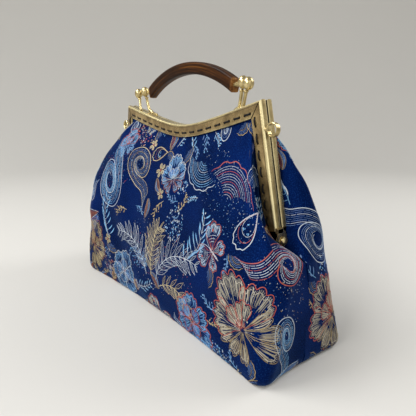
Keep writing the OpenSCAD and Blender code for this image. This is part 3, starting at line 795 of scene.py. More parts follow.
def tarnish_and_painted_light(half):
    """Marks where a frame half is tarnished, and where a highlight or shade is painted on it.

    It goes by each point's depth in from the outer edge and distance y from the middle: the flange's flat is
    tarnished, the rounded edges get a painted highlight, and the groove, the holes, the mitres and the joint
    get painted shade."""
    place = np.empty(3 * len(half.data.vertices))
    half.data.vertices.foreach_get("co", place)
    x, y, z = np.abs(place.reshape(-1, 3).T) / MM
    depth = np.minimum(rail_z(x) - z, leg_x(z) - x)
    flat = smoothstep((depth - 1.5) / 0.8) * (1 - smoothstep((depth - 10.8) / 0.5))
    groove = (depth > 2.4) & (depth < 2.7) & (y > 6.5) & (y < 6.7)
    rounded = (depth < 1.2) & ((y > 5.3) & (y < 6.5) | (y > 0.8) & (y < 1.2))
    recess = (y < 0.5) | (depth > 1.7) & (y < 6.2)
    # The rounded edges get a painted highlight. The groove, the gap between the halves and the walls of the
    # holes and mitres get painted shade.
    for aspect, values in (("tarnish", np.maximum(flat, 0.2 * (y < 5.0) * (y > 0.4))),
                           ("rubbed", 0.7 * rounded), ("patina", np.maximum(0.8 * groove, recess))):
        point_values(half, aspect, values)


def frame_half(name, back, ear_x):
    """One half of the frame and its two hinge ears; back mirrors it across Y."""
    flip = np.array([1, -1 if back else 1, 1])
    points, faces = frame_sweep()
    half = mesh_object(name, points * flip, faces, BRASS)
    points, faces = flange_cutters()
    cut_holes(half, (points * flip, faces))
    tarnish_and_painted_light(half)
    outline = hull_outline(0, HINGE_Z, EAR_R, [[-Y_OUT + 0.2, 103.0], [-0.8, 103.0], [-Y_OUT + 0.2, 99.0]])
    ear = plate_x(outline, ear_x, ear_x + EAR_T)
    block = soft_box((leg_x(LEG_END_Z) - 1.0, -Y_OUT + 0.3, 99.5), (ear_x + EAR_T, -0.8, 103.2))
    points, faces = both_sides(joined([ear, block]))
    return [half, mesh_object(name + "_ears", points * flip, faces, BRASS)]


REAR_EAR_X = leg_x(LEG_END_Z) - 1.1
FRONT_EAR_X = REAR_EAR_X + 1.8
front_metal = frame_half("front_frame_visual", False, FRONT_EAR_X)
rear_metal = frame_half("rear_frame_visual", True, REAR_EAR_X)


def ball_part(centre, bead):
    """Egg-shaped ball: half an ellipse turned round, on a bead whose half ellipse stands off the axis."""
    r, h = BALL_SIZE[0] / 2, BALL_SIZE[2] / 2
    a = np.radians(np.linspace(-90, 90, 33))
    ball = turned(np.stack([r * np.cos(a), h * np.sin(a)], 1), centre, "z", 48)
    a = np.radians(np.linspace(-90, 90, 13))
    shape = np.concatenate([[[0, -1.1]], np.stack([0.5 + 1.55 * np.cos(a), 1.1 * np.sin(a)], 1), [[0, 1.1]]])
    return [ball, turned(shape, bead, "z", 32)]


def clasp_parts():
    """Front half's posts and outer balls; a post's route runs from the rail's wall up to the bead."""
    x, y, z = BALL_OUT
    bead = (84.2, -1.9, z - BALL_SIZE[2] / 2 - 0.6)
    foot = [[80.6, -2.9, rail_z(80.6) - 0.6], [82.0, -2.6, rail_z(82.0) + 1.2]]
    path = spline(foot + [[83.3, -2.2, 198.4], list(bead)], 8)
    post = tube(path, np.interp(np.linspace(0, 1, len(path)), [0, 0.15, 0.6, 1], [1.9, 1.5, 1.3, 1.5]), 20)
    return both_sides(joined(ball_part((x, y, z), bead) + [post]))


def handle_parts():
    """Rear half's swan-necked posts, inner balls and the studs into the grip."""
    x, y, z = BALL_IN
    bead = (75.4, 1.7, z - BALL_SIZE[2] / 2 - 1.0)
    foot = [[x0, 2.7, rail_z(x0) + 0.55] for x0 in (55.5, 58.0, 61.5, 65.0)]
    neck = [[68.8, 2.65, rail_z(68.8) + 1.9], [71.6, 2.4, 191.5], [73.7, 2.05, 197.0], list(bead)]
    path = spline(foot + neck, 8)
    s = np.linspace(0, 1, len(path))
    post = tube(path, np.interp(s, [0, 0.06, 0.3, 0.5, 1], [0.7, 1.25, 1.45, 1.45, 1.45]), 20)
    stud = turned([[0, 60.0], [2.0, 60.0], [2.0, x - 2.0], [0, x - 2.0]], (0, 2.6, z - 1.0), "x", 24)
    return both_sides(joined(ball_part((x, y, z), bead) + [post, stud]))


def ring_parts():
    """Short tubes brazed to the front half's legs: a wall with softened edges carried round, on a lug."""
    middle = (RING_LOW + RING_HIGH) / 2
    radius, bore, half = (RING_HIGH[2] - RING_LOW[2]) / 2, 4.2, 2.0
    wall = [[bore, -half + 0.3], [bore + 0.3, -half], [radius - 0.45, -half], [radius - 0.1, -half + 0.3],
            [radius, 0.0], [radius - 0.1, half - 0.3], [radius - 0.45, half], [bore + 0.3, half],
            [bore, half - 0.3]]
    ring = turned(wall, (RING_HIGH[0] - radius, middle[1], middle[2]), "y", 56, closed_ends=False)
    foot = np.array([leg_x(middle[2]), middle[1], middle[2]])
    path = foot + np.array([[-0.3, 0, 0], [0.4, 0, 0], [1.0, 0, 0], [1.6, 0, 0]])
    lug = tube(path, [2.6, 2.4, 1.7, 1.5], 20)
    return both_sides(joined([ring, lug]))


def rivet_parts():
    """Rivets through the ears: a flat head inside and a dome outside, a profile turned round the hinge."""
    inside, outside = REAR_EAR_X - 0.2, FRONT_EAR_X + EAR_T + 0.2
    a = np.radians(np.linspace(0, 90, 12))
    dome = np.stack([3.5 * np.cos(a), outside + 0.3 + 1.9 * np.sin(a)], 1)
    shank = [[0, inside - 1.0], [2.6, inside - 1.0], [3.0, inside - 0.6], [3.0, inside], [1.6, inside],
             [1.6, outside], [3.2, outside]]
    return both_sides(turned(np.concatenate([shank, dome]), (0, 0, HINGE_Z), "x", 40))


clasp = mesh_object("clasp_visual", *clasp_parts(), BRASS)
handle_metal = mesh_object("handle_metal_visual", *handle_parts(), BRASS)
rings = mesh_object("strap_rings_visual", *ring_parts(), BRASS)
rivets = mesh_object("hinge_rivets_visual", *rivet_parts(), BRASS)


# ---- Stitching ----

def stitch_parts(flip):
    """Threads from hole to hole on the flange: two strands laid side by side, pulled down into the holes."""
    t = np.array([0.0, 0.02, 0.10, 0.3, 0.5, 0.7, 0.90, 0.98, 1.0])
    y = np.array([-5.2, -6.3, -7.0, -7.3, -7.35, -7.3, -7.0, -6.3, -5.2])
    bow = 0.26 * np.array([0.7, 0.8, 1, 1, 1, 1, 1, 0.8, 0.7])
    parts = []
    for a, b in zip(ALL_HOLES[0::2], ALL_HOLES[1::2]):
        start, reach = np.array([a[0], 0, a[1]]), np.array([b[0] - a[0], 0, b[1] - a[1]])
        across = unit(np.cross(reach, [0.0, 1.0, 0.0]))
        for side in (-1, 1):
            path = start + reach * t[:, None] + side * across * bow[:, None]
            path[:, 1] = y
            parts.append(tube(path, THREAD_R, 8))
    points, faces = joined(parts)
    return points * [1, flip, 1], faces


front_thread = mesh_object("front_stitching_visual", *stitch_parts(1), THREAD)
rear_thread = mesh_object("rear_stitching_visual", *stitch_parts(-1), THREAD)


# ---- Grip ----

def grip_object():
    """Curved wooden bar: a sixth-power rounded rectangle carried round the grip's arc, its ends softened.

    The arc ends nearer the middle at the section's bottom than at its top, and each point keeps its place
    along the arc, across and up for the wood's grain."""
    thick, y = (GRIP_HIGH[1] - GRIP_LOW[1]) / 2, (GRIP_HIGH[1] + GRIP_LOW[1]) / 2
    outer, height, slant = 130.0, 10.7, 2.5
    steps, sides = 96, 48
    ends = np.array([[-1.0, 0.86], [-0.9985, 0.95], [-0.994, 0.985]])
    t = np.concatenate([ends[:, 0], np.linspace(-1, 1, steps + 1)[2:-2], -ends[::-1, 0]])
    scale = np.concatenate([ends[:, 1], np.ones(len(t) - 6), ends[::-1, 1]])[:, None]
    turn = np.linspace(0, 2 * math.pi, sides, endpoint=False)
    r = (np.abs(np.cos(turn)) ** 6 + np.abs(np.sin(turn)) ** 6) ** (-1 / 6)
    across, up = thick * r * np.cos(turn), height / 2 * r * np.sin(turn)
    rise = outer - height / 2 + up * scale
    reach = GRIP_HIGH[0] - slant * (height / 2 - up) / height
    angle = np.arcsin(reach / rise) * t[:, None]
    x, z = rise * np.sin(angle), GRIP_HIGH[2] - outer + rise * np.cos(angle)
    points = np.stack([x, y + across * scale, z], -1)
    obj = mesh_object("handle_grip_visual", *lofted(points), WOOD)
    point_values(obj, "grain", np.stack(np.broadcast_arrays(outer * angle, across, up), -1))
    # Painted light: a share rising to 1 at the grip's ends, which paints them paler as if lit.
    point_values(obj, "sawn_end", np.repeat(np.interp(np.abs(t), [0.985, 0.998], [0.0, 1.0]), sides))
    return obj


grip = grip_object()


# ---- Figures of the brocade ----

def thread_colour(hex_colour):
    """Linear RGB of an sRGB hex colour, to be mixed and scaled."""
    return np.array(linear(hex_colour)[:3])


CREAM, SILVER, TAN, GOLD, SAND, IVORY, CORAL, RUST, SKY, BLUE, STEEL = map(thread_colour, (
    "#B0A380", "#A8B1BC", "#8C7953", "#6F5934", "#80796A", "#B2AD9E", "#A04030", "#74392D", "#669ECB",
    "#2C5CA4", "#4F6E9C"))

# A figure is a list of strokes: the centre line in mm, the half width along it, the colour and the lift.


def stroke(path, half_width, colour, ends=(0.25, 0.25), lift=0.0, steps=3):
    """One stroke along a smooth curve through the points, its width tapering to shares of it at the ends."""
    path = spline(np.asarray(path, float), steps) if len(path) > 2 else np.asarray(path, float)
    t = np.linspace(0, 1, len(path))
    taper = np.minimum(1, np.minimum(ends[0] + 5 * t, ends[1] + 5 * (1 - t)))
    return [(path, half_width * taper, np.broadcast_to(colour, (len(path), 3)), lift)]


def dot(x, y, size, colour, lift=0.0):
    """Small lozenge of thread."""
    return [(np.array([[x, y - size], [x, y], [x, y + size]]), np.array([0.2, 1.0, 0.2]) * size * 0.8,
             np.broadcast_to(colour, (3, 3)), lift)]


def moved(figure, x=0.0, y=0.0, angle=0.0, scale=1.0, mirror=False, raised=0.0):
    """A figure scaled, mirrored, turned by an angle in degrees, moved and raised; its threads' widths scale
    half as much."""
    c, s = math.cos(math.radians(angle)), math.sin(math.radians(angle))
    turn = scale * np.array([[c, s], [-s, c]])
    if mirror:
        turn = np.array([[-1, 0], [0, 1]]) @ turn
    return [(p @ turn + [x, y], w * (0.5 + 0.5 * scale), col, lift + raised) for p, w, col, lift in figure]


def polar(radius, degrees):
    """Points at a radius and a direction from +y, clockwise."""
    a = np.radians(degrees)
    return np.stack([radius * np.sin(a), radius * np.cos(a)], axis=-1)


def petal(rng, length, spread, scallops, fill, tip, edge, gap=0.45, edge_width=0.32, pitch=1.1):
    """A petal that fans from the origin to +y, spread degrees to each side, with a scalloped rim.

    Threads run in from the rim to uneven depths, close together at the rim and open towards the base; a rim
    stroke and a paler line inside it follow the scallops."""
    def rim(a):
        wave = np.abs(np.sin(scallops * np.pi * (a + spread) / (2 * spread)))
        return length * (1 - 0.24 * np.abs(a / spread) ** 2.2) * (0.90 + 0.10 * wave)

    figure = []
    count = max(4, int(2 * math.radians(spread) * length * 0.82 / pitch))
    for k, a in enumerate(np.linspace(-spread, spread, count + 2)[1:-1]):
        depth = gap + (0.34 if k % 2 else 0.12) * rng.random()
        colour = (fill + (tip - fill) * rng.uniform(0.0, 1.0)) * rng.uniform(0.65, 1.1)
        radius = rim(a) * 0.95 * np.array([1.0, 0.5 + depth / 2, depth])
        line = polar(radius, a + np.array([0, rng.uniform(-2, 2), 0]))
        figure += stroke(line, rng.uniform(0.20, 0.33) * pitch, colour, (0.8, 0.12), steps=2)
    for a in np.linspace(-spread * 0.65, spread * 0.65, max(3, count // 4)):
        figure += stroke(polar(length * np.array([0.08, gap * rng.uniform(0.7, 1.0)]), a),
                         0.22, edge if rng.random() < 0.4 else tip, (0.6, 0.2))
    a = np.linspace(-spread, spread, 5 * scallops + 1)
    outline = np.concatenate([polar(length * np.array([0.05, 0.3]), -spread * 0.8), polar(rim(a), a),
                              polar(length * np.array([0.3, 0.05]), spread * 0.8)])
    figure += stroke(outline, edge_width, edge, (0.4, 0.4), 0.14, 2)
    figure += stroke(polar(rim(a) * 0.88, a), 0.20, tip, (0.5, 0.5), 0.10, 2)
    return figure


def flower(rng, radius, petals, fill, tip, edge, heart):
    """Open flower: an outer ring of petals of uneven size, an inner ring and a heart of dots."""
    figure = []
    for k in range(petals):
        size = radius * rng.uniform(0.80, 1.08)
        figure += moved(petal(rng, size, 205 / petals, 4, fill, tip, edge, 0.58),
                        angle=-360 * k / petals + rng.uniform(-7, 7), raised=0.05 * (k % 2))
    for k in range(petals - 2):
        figure += moved(petal(rng, radius * 0.52, 190 / (petals - 1), 3, tip, fill, edge, 0.35, 0.28),
                        angle=-360 * (k + 0.5) / (petals - 2), raised=0.14 + 0.04 * (k % 2))
    for k in range(14):
        p = polar(radius * 0.16 * math.sqrt(rng.random()), rng.uniform(0, 360))
        figure += dot(p[0], p[1], 0.7, heart if k % 2 else tip, 0.2)
    return figure


def half_flower(rng, radius, fill, tip, edge, skirt):
    """Flower from the side: three broad petals fan up round two inner ones, over a fringe of narrow ones."""
    figure = []
    for angle in (150, 118, -118, -150, 88, -88):
        fringe = petal(rng, radius * rng.uniform(0.62, 0.85), 15, 2, skirt, tip, skirt, 0.4, 0.26)
        figure += moved(fringe, angle=angle)
    for angle, size in ((56, 0.9), (-56, 0.86), (0, 1.05)):
        figure += moved(petal(rng, radius * size, 34, 5, fill, tip, edge, 0.56), angle=angle,
                        raised=0.05 if angle else 0.10)
    for angle in (28, -30):
        inner = petal(rng, radius * 0.52, 27, 3, tip, fill, edge, 0.35, 0.28)
        figure += moved(inner, angle=angle, raised=0.2)
    for a in np.linspace(-30, 30, 7):
        figure += dot(*polar(radius * 0.20, 2 * a), 0.7, tip, 0.2)
    return figure


def butterfly(rng, size, wing, tip, edge):
    """Butterfly with four banded wings, a striped body and curled feelers."""
    figure = []
    for side in (-1, 1):
        for angle, share, spread in ((50, 1.0, 33), (124, 0.66, 30)):
            w = petal(rng, size * share, spread, 3, wing, tip, edge, 0.62, 0.3)
            for r in (0.34, 0.44, 0.54):
                a = np.linspace(-spread * 0.7, spread * 0.7, 7)
                w += stroke(polar(size * share * r * np.ones(7), a), 0.2, tip, (0.4, 0.4), 0.1, 2)
            w += dot(*polar(size * share * 0.7, rng.uniform(-8, 8)), 1.3, edge, 0.24)
            figure += moved(w, angle=-side * angle)
        feeler = np.array([[0, 0.2], [side * 0.12, 0.55], [side * 0.3, 0.72], [side * 0.36, 0.62]]) * size
        figure += stroke(feeler, 0.2, tip, (0.6, 0.4), 0.1)
    figure += stroke([[0, size * 0.24], [0, 0], [0, -size * 0.42]], 0.8, tip, (0.5, 0.2), 0.2)
    for y in np.linspace(0.16, -0.34, 6) * size:
        figure += stroke([[-0.7, y], [0.7, y]], 0.2, edge, (1, 1), 0.35)
    return figure


def scroll(rng, size, turns, lines, line, rim):
    """Cloud scroll: spiral lines side by side, the outermost one scalloped, running out into a short tail."""
    figure = []
    for k in range(lines):
        t = np.linspace(0, 1 - 0.07 * k, 40)
        r = (size - 1.75 * k) * (1 - 0.82 * t ** 0.9)
        if k == 0:
            r = r * (1 + 0.08 * np.abs(np.sin(t * turns * 10)))
        path = polar(r, 360 * turns * t) * [1.25, 0.9]
        tail = np.array([[-2.1 + 0.08 * k, 0.5], [-1.7, 0.1], [-1.2, -0.12], [-0.6, -0.02], [0, 0]]) * size
        tail = spline(tail + [0, path[0, 1]], 4)[:-2]
        shade = rim if k == 0 or k % 4 == 3 else line * rng.uniform(0.75, 1.15)
        figure += stroke(np.concatenate([tail, path]), 0.19 if k else 0.34, shade, (0.3, 0.5), 0.0, 2)
    return figure


def fan(rng, radius, spread, lines, line, rim):
    """Fan of concentric arcs under a scalloped rim, like a wave crest."""
    figure = []
    for k in range(lines):
        r = radius * (1 - 0.78 * k / lines)
        a = np.linspace(-spread * (1 - 0.03 * k), spread * (1 - 0.05 * k), 25)
        wave = 1 + (k == 0) * 0.06 * np.abs(np.sin(np.radians(a) * 7))
        shade = rim if k == 0 or k % 4 == 3 else line * rng.uniform(0.75, 1.15)
        figure += stroke(polar(r * wave, a), 0.20 if k else 0.34, shade, (0.4, 0.4), 0.0, 2)
    return figure


def spray(rng, length, leaves, leaf, light, curl=0.2):
    """Sprig: a curved stem with pairs of narrow leaves on stalks, each with a light line, and buds."""
    t = np.linspace(0, 1, 8)
    stem = np.stack([curl * length * np.sin(t * 2.6), length * t], 1)
    figure = stroke(stem, 0.22, light, (1, 0.4), steps=2)
    for k in range(leaves):
        f = (k + 0.8) / (leaves + 0.3)
        root = along(stem, f * path_length(stem))
        for side in (-1, 1):
            reach = length * rng.uniform(0.22, 0.34) * (1.15 - 0.5 * f)
            a = side * rng.uniform(28, 48) - 18 * curl
            start, tip = root + polar(reach * 0.25, a + side * 12), root + polar(reach, a)
            middle = root + polar(reach * 0.62, a + side * 7)
            figure += stroke([root, start], 0.16, light, (1, 1))
            figure += stroke([start, middle, tip], 0.62, leaf, (0.12, 0.08), 0.03, 2)
            figure += stroke([start, middle], 0.14, light, (0.5, 0.5), 0.16)
            if rng.random() < 0.35:
                figure += dot(*(tip + polar(1.5, a)), 0.6, light)
    return figure + dot(*(stem[-1] + [0, 1.2]), 0.9, light)


def plume(rng, length, pairs, line, arch=0.35):
    """Arched frond: a stem with slender open leaflets drawn in outline to both sides, hanging a little."""
    t = np.linspace(0, 1, 10)
    stem = np.stack([arch * length * 1.5 * t ** 2, length * (t - 0.4 * t ** 2.4)], 1)
    figure = stroke(stem, 0.34, line, (1, 0.3), 0.1, 2)
    for k in range(pairs):
        f = (k + 1.0) / (pairs + 0.6)
        root = along(stem, f * path_length(stem))
        ahead = along(stem, min(0.999, f + 0.03) * path_length(stem)) - root
        heading = math.degrees(math.atan2(ahead[0], ahead[1]))
        for side in (-1, 1):
            reach = length * 0.27 * math.sin(math.pi * (0.24 + 0.68 * f)) * rng.uniform(0.85, 1.15)
            a = heading + side * rng.uniform(34, 48)
            for bulge in (-1, 1):
                mid = polar(reach * 0.5, a + bulge * 12)
                figure += stroke([root, root + mid, root + polar(reach, a)], 0.17, line, (0.7, 0.7), 0.0, 3)
            figure += stroke([root, root + polar(reach * 0.65, a)], 0.13, line, (0.6, 0.6), 0.0)
    return figure


def broad_leaf(rng, length, width, left, right, edge):
    """Large leaf: a midrib, close veins in one colour on each side and a toothed rim."""
    figure = []
    t = np.linspace(0, 1, 31)
    bow = 0.12 * length * np.sin(math.pi * t)
    half = width * np.sin(math.pi * t ** 0.8) ** 0.8
    rib = np.stack([bow, length * t], 1)
    for side, colour in ((-1, left), (1, right)):
        for f in np.arange(0.07, 0.93, 1.25 / length):
            start = np.array([np.interp(f, t, bow) + side * 0.3, length * f])
            tip = np.array([start[0] + side * np.interp(f, t, half) * 0.9, length * min(1, f + 0.14)])
            shade = colour * rng.uniform(0.7, 1.2)
            middle = (start + tip) / 2 + [0, -0.02 * length]
            figure += stroke([start, middle, tip], 0.27, shade, (0.5, 0.5), steps=2)
        tooth = 1 + 0.07 * (np.arange(31) % 2)
        rim = np.stack([bow + side * half * tooth, length * (t + 0.10 * np.sin(math.pi * t))], 1)
        figure += stroke(rim, 0.28, edge, (0.4, 0.4), 0.1, 2)
    return figure + stroke(rib, 0.3, edge, (0.8, 0.3), 0.15, 2)


def teardrop(rng, length, rim, middle, heart):
    """Nested drop outlines, the outermost scalloped, with grains of thread inside."""
    figure = []
    for k, (size, colour, width) in enumerate(((1.0, rim, 0.34), (0.84, middle, 0.2), (0.66, rim, 0.2))):
        a = np.linspace(0, 2 * math.pi, 27)
        wave = 1 + (k == 0) * 0.06 * np.abs(np.sin(a * 6))
        drop = np.stack([0.36 * np.sin(a) * np.sin(a / 2) ** 1.4 * wave, 0.5 * (1 - np.cos(a)) * wave], 1)
        drop = drop * length * size + [0, length * 0.12 * (1 - size)]
        figure += stroke(drop, width, colour, (0.6, 0.6), 0.0, 2)
    for k in range(10):
        p = polar(length * 0.15 * math.sqrt(rng.random()), rng.uniform(0, 360))
        figure += dot(p[0], p[1] + length * 0.56, 0.6, heart)
    return figure


def rosette(rng, radius, petals, fill, heart):
    """Small flower of broad petals, each two strokes side by side with a dark line between."""
    figure = []
    for k in range(petals):
        a = 360 * k / petals + rng.uniform(-5, 5)
        for side in (-1, 1):
            figure += stroke(polar(radius * np.array([0.2, 0.66, 1.0]), a + side * np.array([6, 15, 4])),
                             radius * 0.12, fill, (0.3, 0.4), steps=2)
    return figure + dot(0, 0, radius * 0.2, heart, 0.22)


def grains(rng, count, rx, ry, colours, size=1.0):
    """Scattered small lozenges, thinning outwards."""
    figure = []
    for _ in range(count):
        r, a = rng.random() ** 0.6, rng.uniform(0, 2 * math.pi)
        figure += dot(rx * r * math.cos(a), ry * r * math.sin(a), size * rng.uniform(0.45, 0.95),
                      colours[int(rng.integers(len(colours)))])
    return figure


def woven(rng, strokes):
    """The strokes with the long thin ones broken into dashes, where a thread dips under the ground."""
    out = []
    for path, half, shade, lift in strokes:
        if len(path) < 9 or half.max() > 0.3:
            out.append((path, half, shade, lift))
            continue
        first = 0
        while first < len(path) - 2:
            last = min(len(path) - 1, first + int(rng.integers(3, 9)))
            piece = path[first:last + 1].copy()
            piece[-1] = piece[-2] + 0.45 * (piece[-1] - piece[-2])
            out.append((piece, half[first:last + 1], shade[first:last + 1] * rng.uniform(0.8, 1.1), lift))
            first = last
    return out


def figure_object(name, strokes, sheet):
    """Object of raised threads on a sheet, with its swing weights.

    Each stroke is a ribbon three points wide, highest along its middle. The ribbons are laid out on the flat
    sheet and carried to the standing cloth with it; what falls beside the sheet or behind the frame is left
    off."""
    flat, height, colour, faces, start = [], [], [], [], 0
    for path, half, shade, lift in strokes:
        tangent = unit(np.gradient(path, axis=0))
        across = np.stack([-tangent[:, 1], tangent[:, 0]], 1) * half[:, None]
        flat.append(np.stack([path - across, path, path + across], 1).reshape(-1, 2))
        height.append(np.tile([THREAD_EDGE + lift, THREAD_TOP + lift, THREAD_EDGE + lift], len(path)))
        colour.append(np.repeat(shade, 3, axis=0))
        faces.append(grid_quads(len(path), 3)[:, ::-1] + start)
        start += 3 * len(path)
    flat, height = np.concatenate(flat), np.concatenate(height)
    colour, faces = np.concatenate(colour), np.concatenate(faces)
    i, j, on = find_on_cloth(sheet["flat"], flat)
    on &= (i > TUCK_ROW - 0.3) & (i < FLOOR_ROW)
    faces = faces[on[faces].all(axis=1)]
    used = np.unique(faces)
    index = np.full(len(flat), -1)
    index[used] = np.arange(len(used))
    i, j = i[used], j[used]
    points = bilinear(sheet["grid"], i, j) + unit(bilinear(sheet["normals"], i, j)) * height[used, None]
    points[:, 1] = np.minimum(points[:, 1], -0.02)
    points[:, 2] = np.maximum(points[:, 2], 0.0)
    obj = mesh_object(name, points * sheet["turn"], index[faces], FIGURES, closed=False, smooth_angle=180)
    add_flat(obj, flat[used])
    point_values(obj, "thread_colour", np.column_stack([colour[used], np.ones(len(used))]))
    return obj, bilinear(sheet["weight"][..., None], i, j)[:, 0]


def add_flat(obj, flat):
    """Keeps each point's place on the flat sheet with the mesh, for the weave."""
    point_values(obj, "flat_mm", np.column_stack([flat, np.zeros(len(flat))]))


# ---- The bag's cloth ----

# Rows of the fine grid where the cloth leaves the flange, folds and meets the base.
TUCK_ROW, FOLD_ROW, FLOOR_ROW = [FINE_ROWS * row for row in (1, UPPER_ROWS, UPPER_ROWS + len(OUTLINES) - 1)]


def wrinkles(flat, grid, phase):
    """Height in mm of the cloth's small folds over the smooth sheet.

    Puckers hang under the stitched rail and die out within a few centimetres, and long soft waves cross the
    panel; both are sines of the flat sheet's coordinates, faded out at the frame and towards the floor."""
    x, y = flat[..., 0], flat[..., 1]
    row = np.arange(len(grid))[:, None]
    below = np.maximum(flat[TUCK_ROW, :, 1] - y, 0)
    free = smoothstep((row - TUCK_ROW) / 9) * (1 - smoothstep((row - 0.85 * FLOOR_ROW) / 14))
    pucker = 0.45 * np.sin(x / 1.55 + 1.2 * np.sin(x / 9 + phase)) * (1 + 0.5 * np.sin(x / 17))
    pucker *= np.exp(-below / 11) * smoothstep(below / 4)
    wave = (1.1 * np.sin(x / 14 + 1.6 * np.sin(y / 33 + phase)) * np.sin(y / 27 + x / 60 + phase)
            + 0.6 * np.sin((x + 1.4 * y) / 11 + phase) * np.sin((y - 0.5 * x) / 21))
    return free * (wave + pucker)


def swing_weights(grid):
    """Share of its frame half's turn that each point of the cloth follows.

    All of it at the frame and none from the fold row down; along the side seams it ends within a finger's
    width of the hinge, so that the front and the back stay joined."""
    step = np.linalg.norm(np.diff(grid, axis=0), axis=2)
    down = np.concatenate([np.zeros((1, grid.shape[1])), np.cumsum(step, axis=0)])
    down = np.maximum(down - down[TUCK_ROW], 0)
    side = np.abs(np.linspace(-1, 1, grid.shape[1]))
    reach = down[FOLD_ROW] * (1 - 0.62 * smoothstep((side - 0.55) / 0.45))
    return 1 - smoothstep(down / reach)


def cloth_sheet(coarse, turn, phase):
    """One half's cloth: its fine standing grid, flat grid, normals, swing weights and how it is turned."""
    grid, flat = upsampled(coarse), upsampled(laid_flat(coarse))
    grid[:, :, 1] = np.minimum(grid[:, :, 1], -SEAM_Y)
    grid = grid + normals_of(grid) * wrinkles(flat, grid, phase)[..., None]
    grid[:, :, 1] = np.minimum(grid[:, :, 1], -SEAM_Y)
    normals = normals_of(grid)
    normals[FLOOR_ROW + 2:] = [0, 0, -1]
    return {"grid": grid, "flat": flat, "normals": normals, "weight": swing_weights(grid), "turn": turn}


def cloth_object(name, sheet, mat, depth, thickness, lowest, step=1):
    """Cloth of a thickness whose outer face lies at a depth inside the sheet, with its swing weights.

    An outer and an inner grid, every step-th row and column of the sheet, are joined round their rim; the
    base lies no lower than lowest."""
    pick = (slice(None, None, step), slice(None, None, step))
    skins = []
    for inside in (0.0, thickness):
        grid = sheet["grid"][pick] - sheet["normals"][pick] * (depth + inside)
        grid[:, :, 1] = np.minimum(grid[:, :, 1], -SEAM_Y)
        grid[:, :, 2] = np.maximum(grid[:, :, 2], lowest + inside)
        skins.append(grid)
    rows, cols = grid.shape[:2]
    count, quads = rows * cols, grid_quads(rows, cols)
    loop = np.concatenate([np.arange(cols), np.arange(1, rows) * cols + cols - 1,
                           (rows - 1) * cols + np.arange(cols - 2, -1, -1),
                           np.arange(rows - 2, 0, -1) * cols])
    ahead = np.roll(loop, -1)
    rim = np.stack([loop, ahead, ahead + count, loop + count], 1)
    faces = np.concatenate([quads[:, ::-1], quads + count, rim])
    obj = mesh_object(name, np.stack(skins) * sheet["turn"], faces, mat, closed=False, smooth_angle=60)
    add_flat(obj, np.tile(sheet["flat"][pick].reshape(-1, 2), (2, 1)))
    return obj, np.tile(sheet["weight"][pick].ravel(), 2)


def ring_of(strokes):
    """Centre and reach of a figure, for spacing."""
    points = np.concatenate([stroke[0] for stroke in strokes])
    middle = (points.min(0) + points.max(0)) / 2
    return middle, np.percentile(np.linalg.norm(points - middle, axis=1), 92)


def strewn(rng, figures, low, high, tries=4200):
    """Small sprigs, flowers, scrolls and grains for the gaps between the large figures.

    Places are tried at random; one that is free takes a small figure, turned at random and shrunk to fit."""
    rings = [ring for ring in map(ring_of, figures) if ring[1] < 45]
    small = [
        lambda: spray(rng, rng.uniform(17, 26), 5, SKY * rng.uniform(0.6, 1), SILVER, rng.uniform(-0.3, 0.3)),
        lambda: grains(rng, 34, 9, 7, [SKY, SILVER, BLUE]),
        lambda: scroll(rng, rng.uniform(7, 10), 1.5, 5, STEEL, SILVER),
        lambda: half_flower(rng, rng.uniform(11, 16), TAN * rng.uniform(0.6, 1), CREAM, RUST, STEEL),
        lambda: rosette(rng, rng.uniform(4.5, 6.5), 5, CREAM * rng.uniform(0.6, 1), CORAL),
        lambda: spray(rng, rng.uniform(14, 20), 4, TAN, CREAM, 0.25),
        lambda: fan(rng, rng.uniform(9, 14), 60, 7, STEEL, TAN),
        lambda: grains(rng, 26, 7, 9, [TAN, CORAL, SILVER]),
        lambda: spray(rng, rng.uniform(15, 22), 4, STEEL, SKY, -0.25),
        lambda: broad_leaf(rng, rng.uniform(19, 27), 4.5, RUST, STEEL, TAN)]
    out = []
    for _ in range(tries):
        spot = rng.uniform(low, high)
        free = min(np.linalg.norm(spot - middle) - reach for middle, reach in rings)
        if free < 4.0:
            continue
        figure = small[int(rng.integers(len(small)))]()
        middle, reach = ring_of(figure)
        size = min(1.2, (free + 2.0) / reach)
        if size < 0.62:
            continue
        figure = moved(figure, -middle[0], -middle[1])
        figure = moved(figure, spot[0], spot[1], rng.uniform(0, 360), size)
        rings.append((spot, reach * size))
        out.append(figure)
    return out


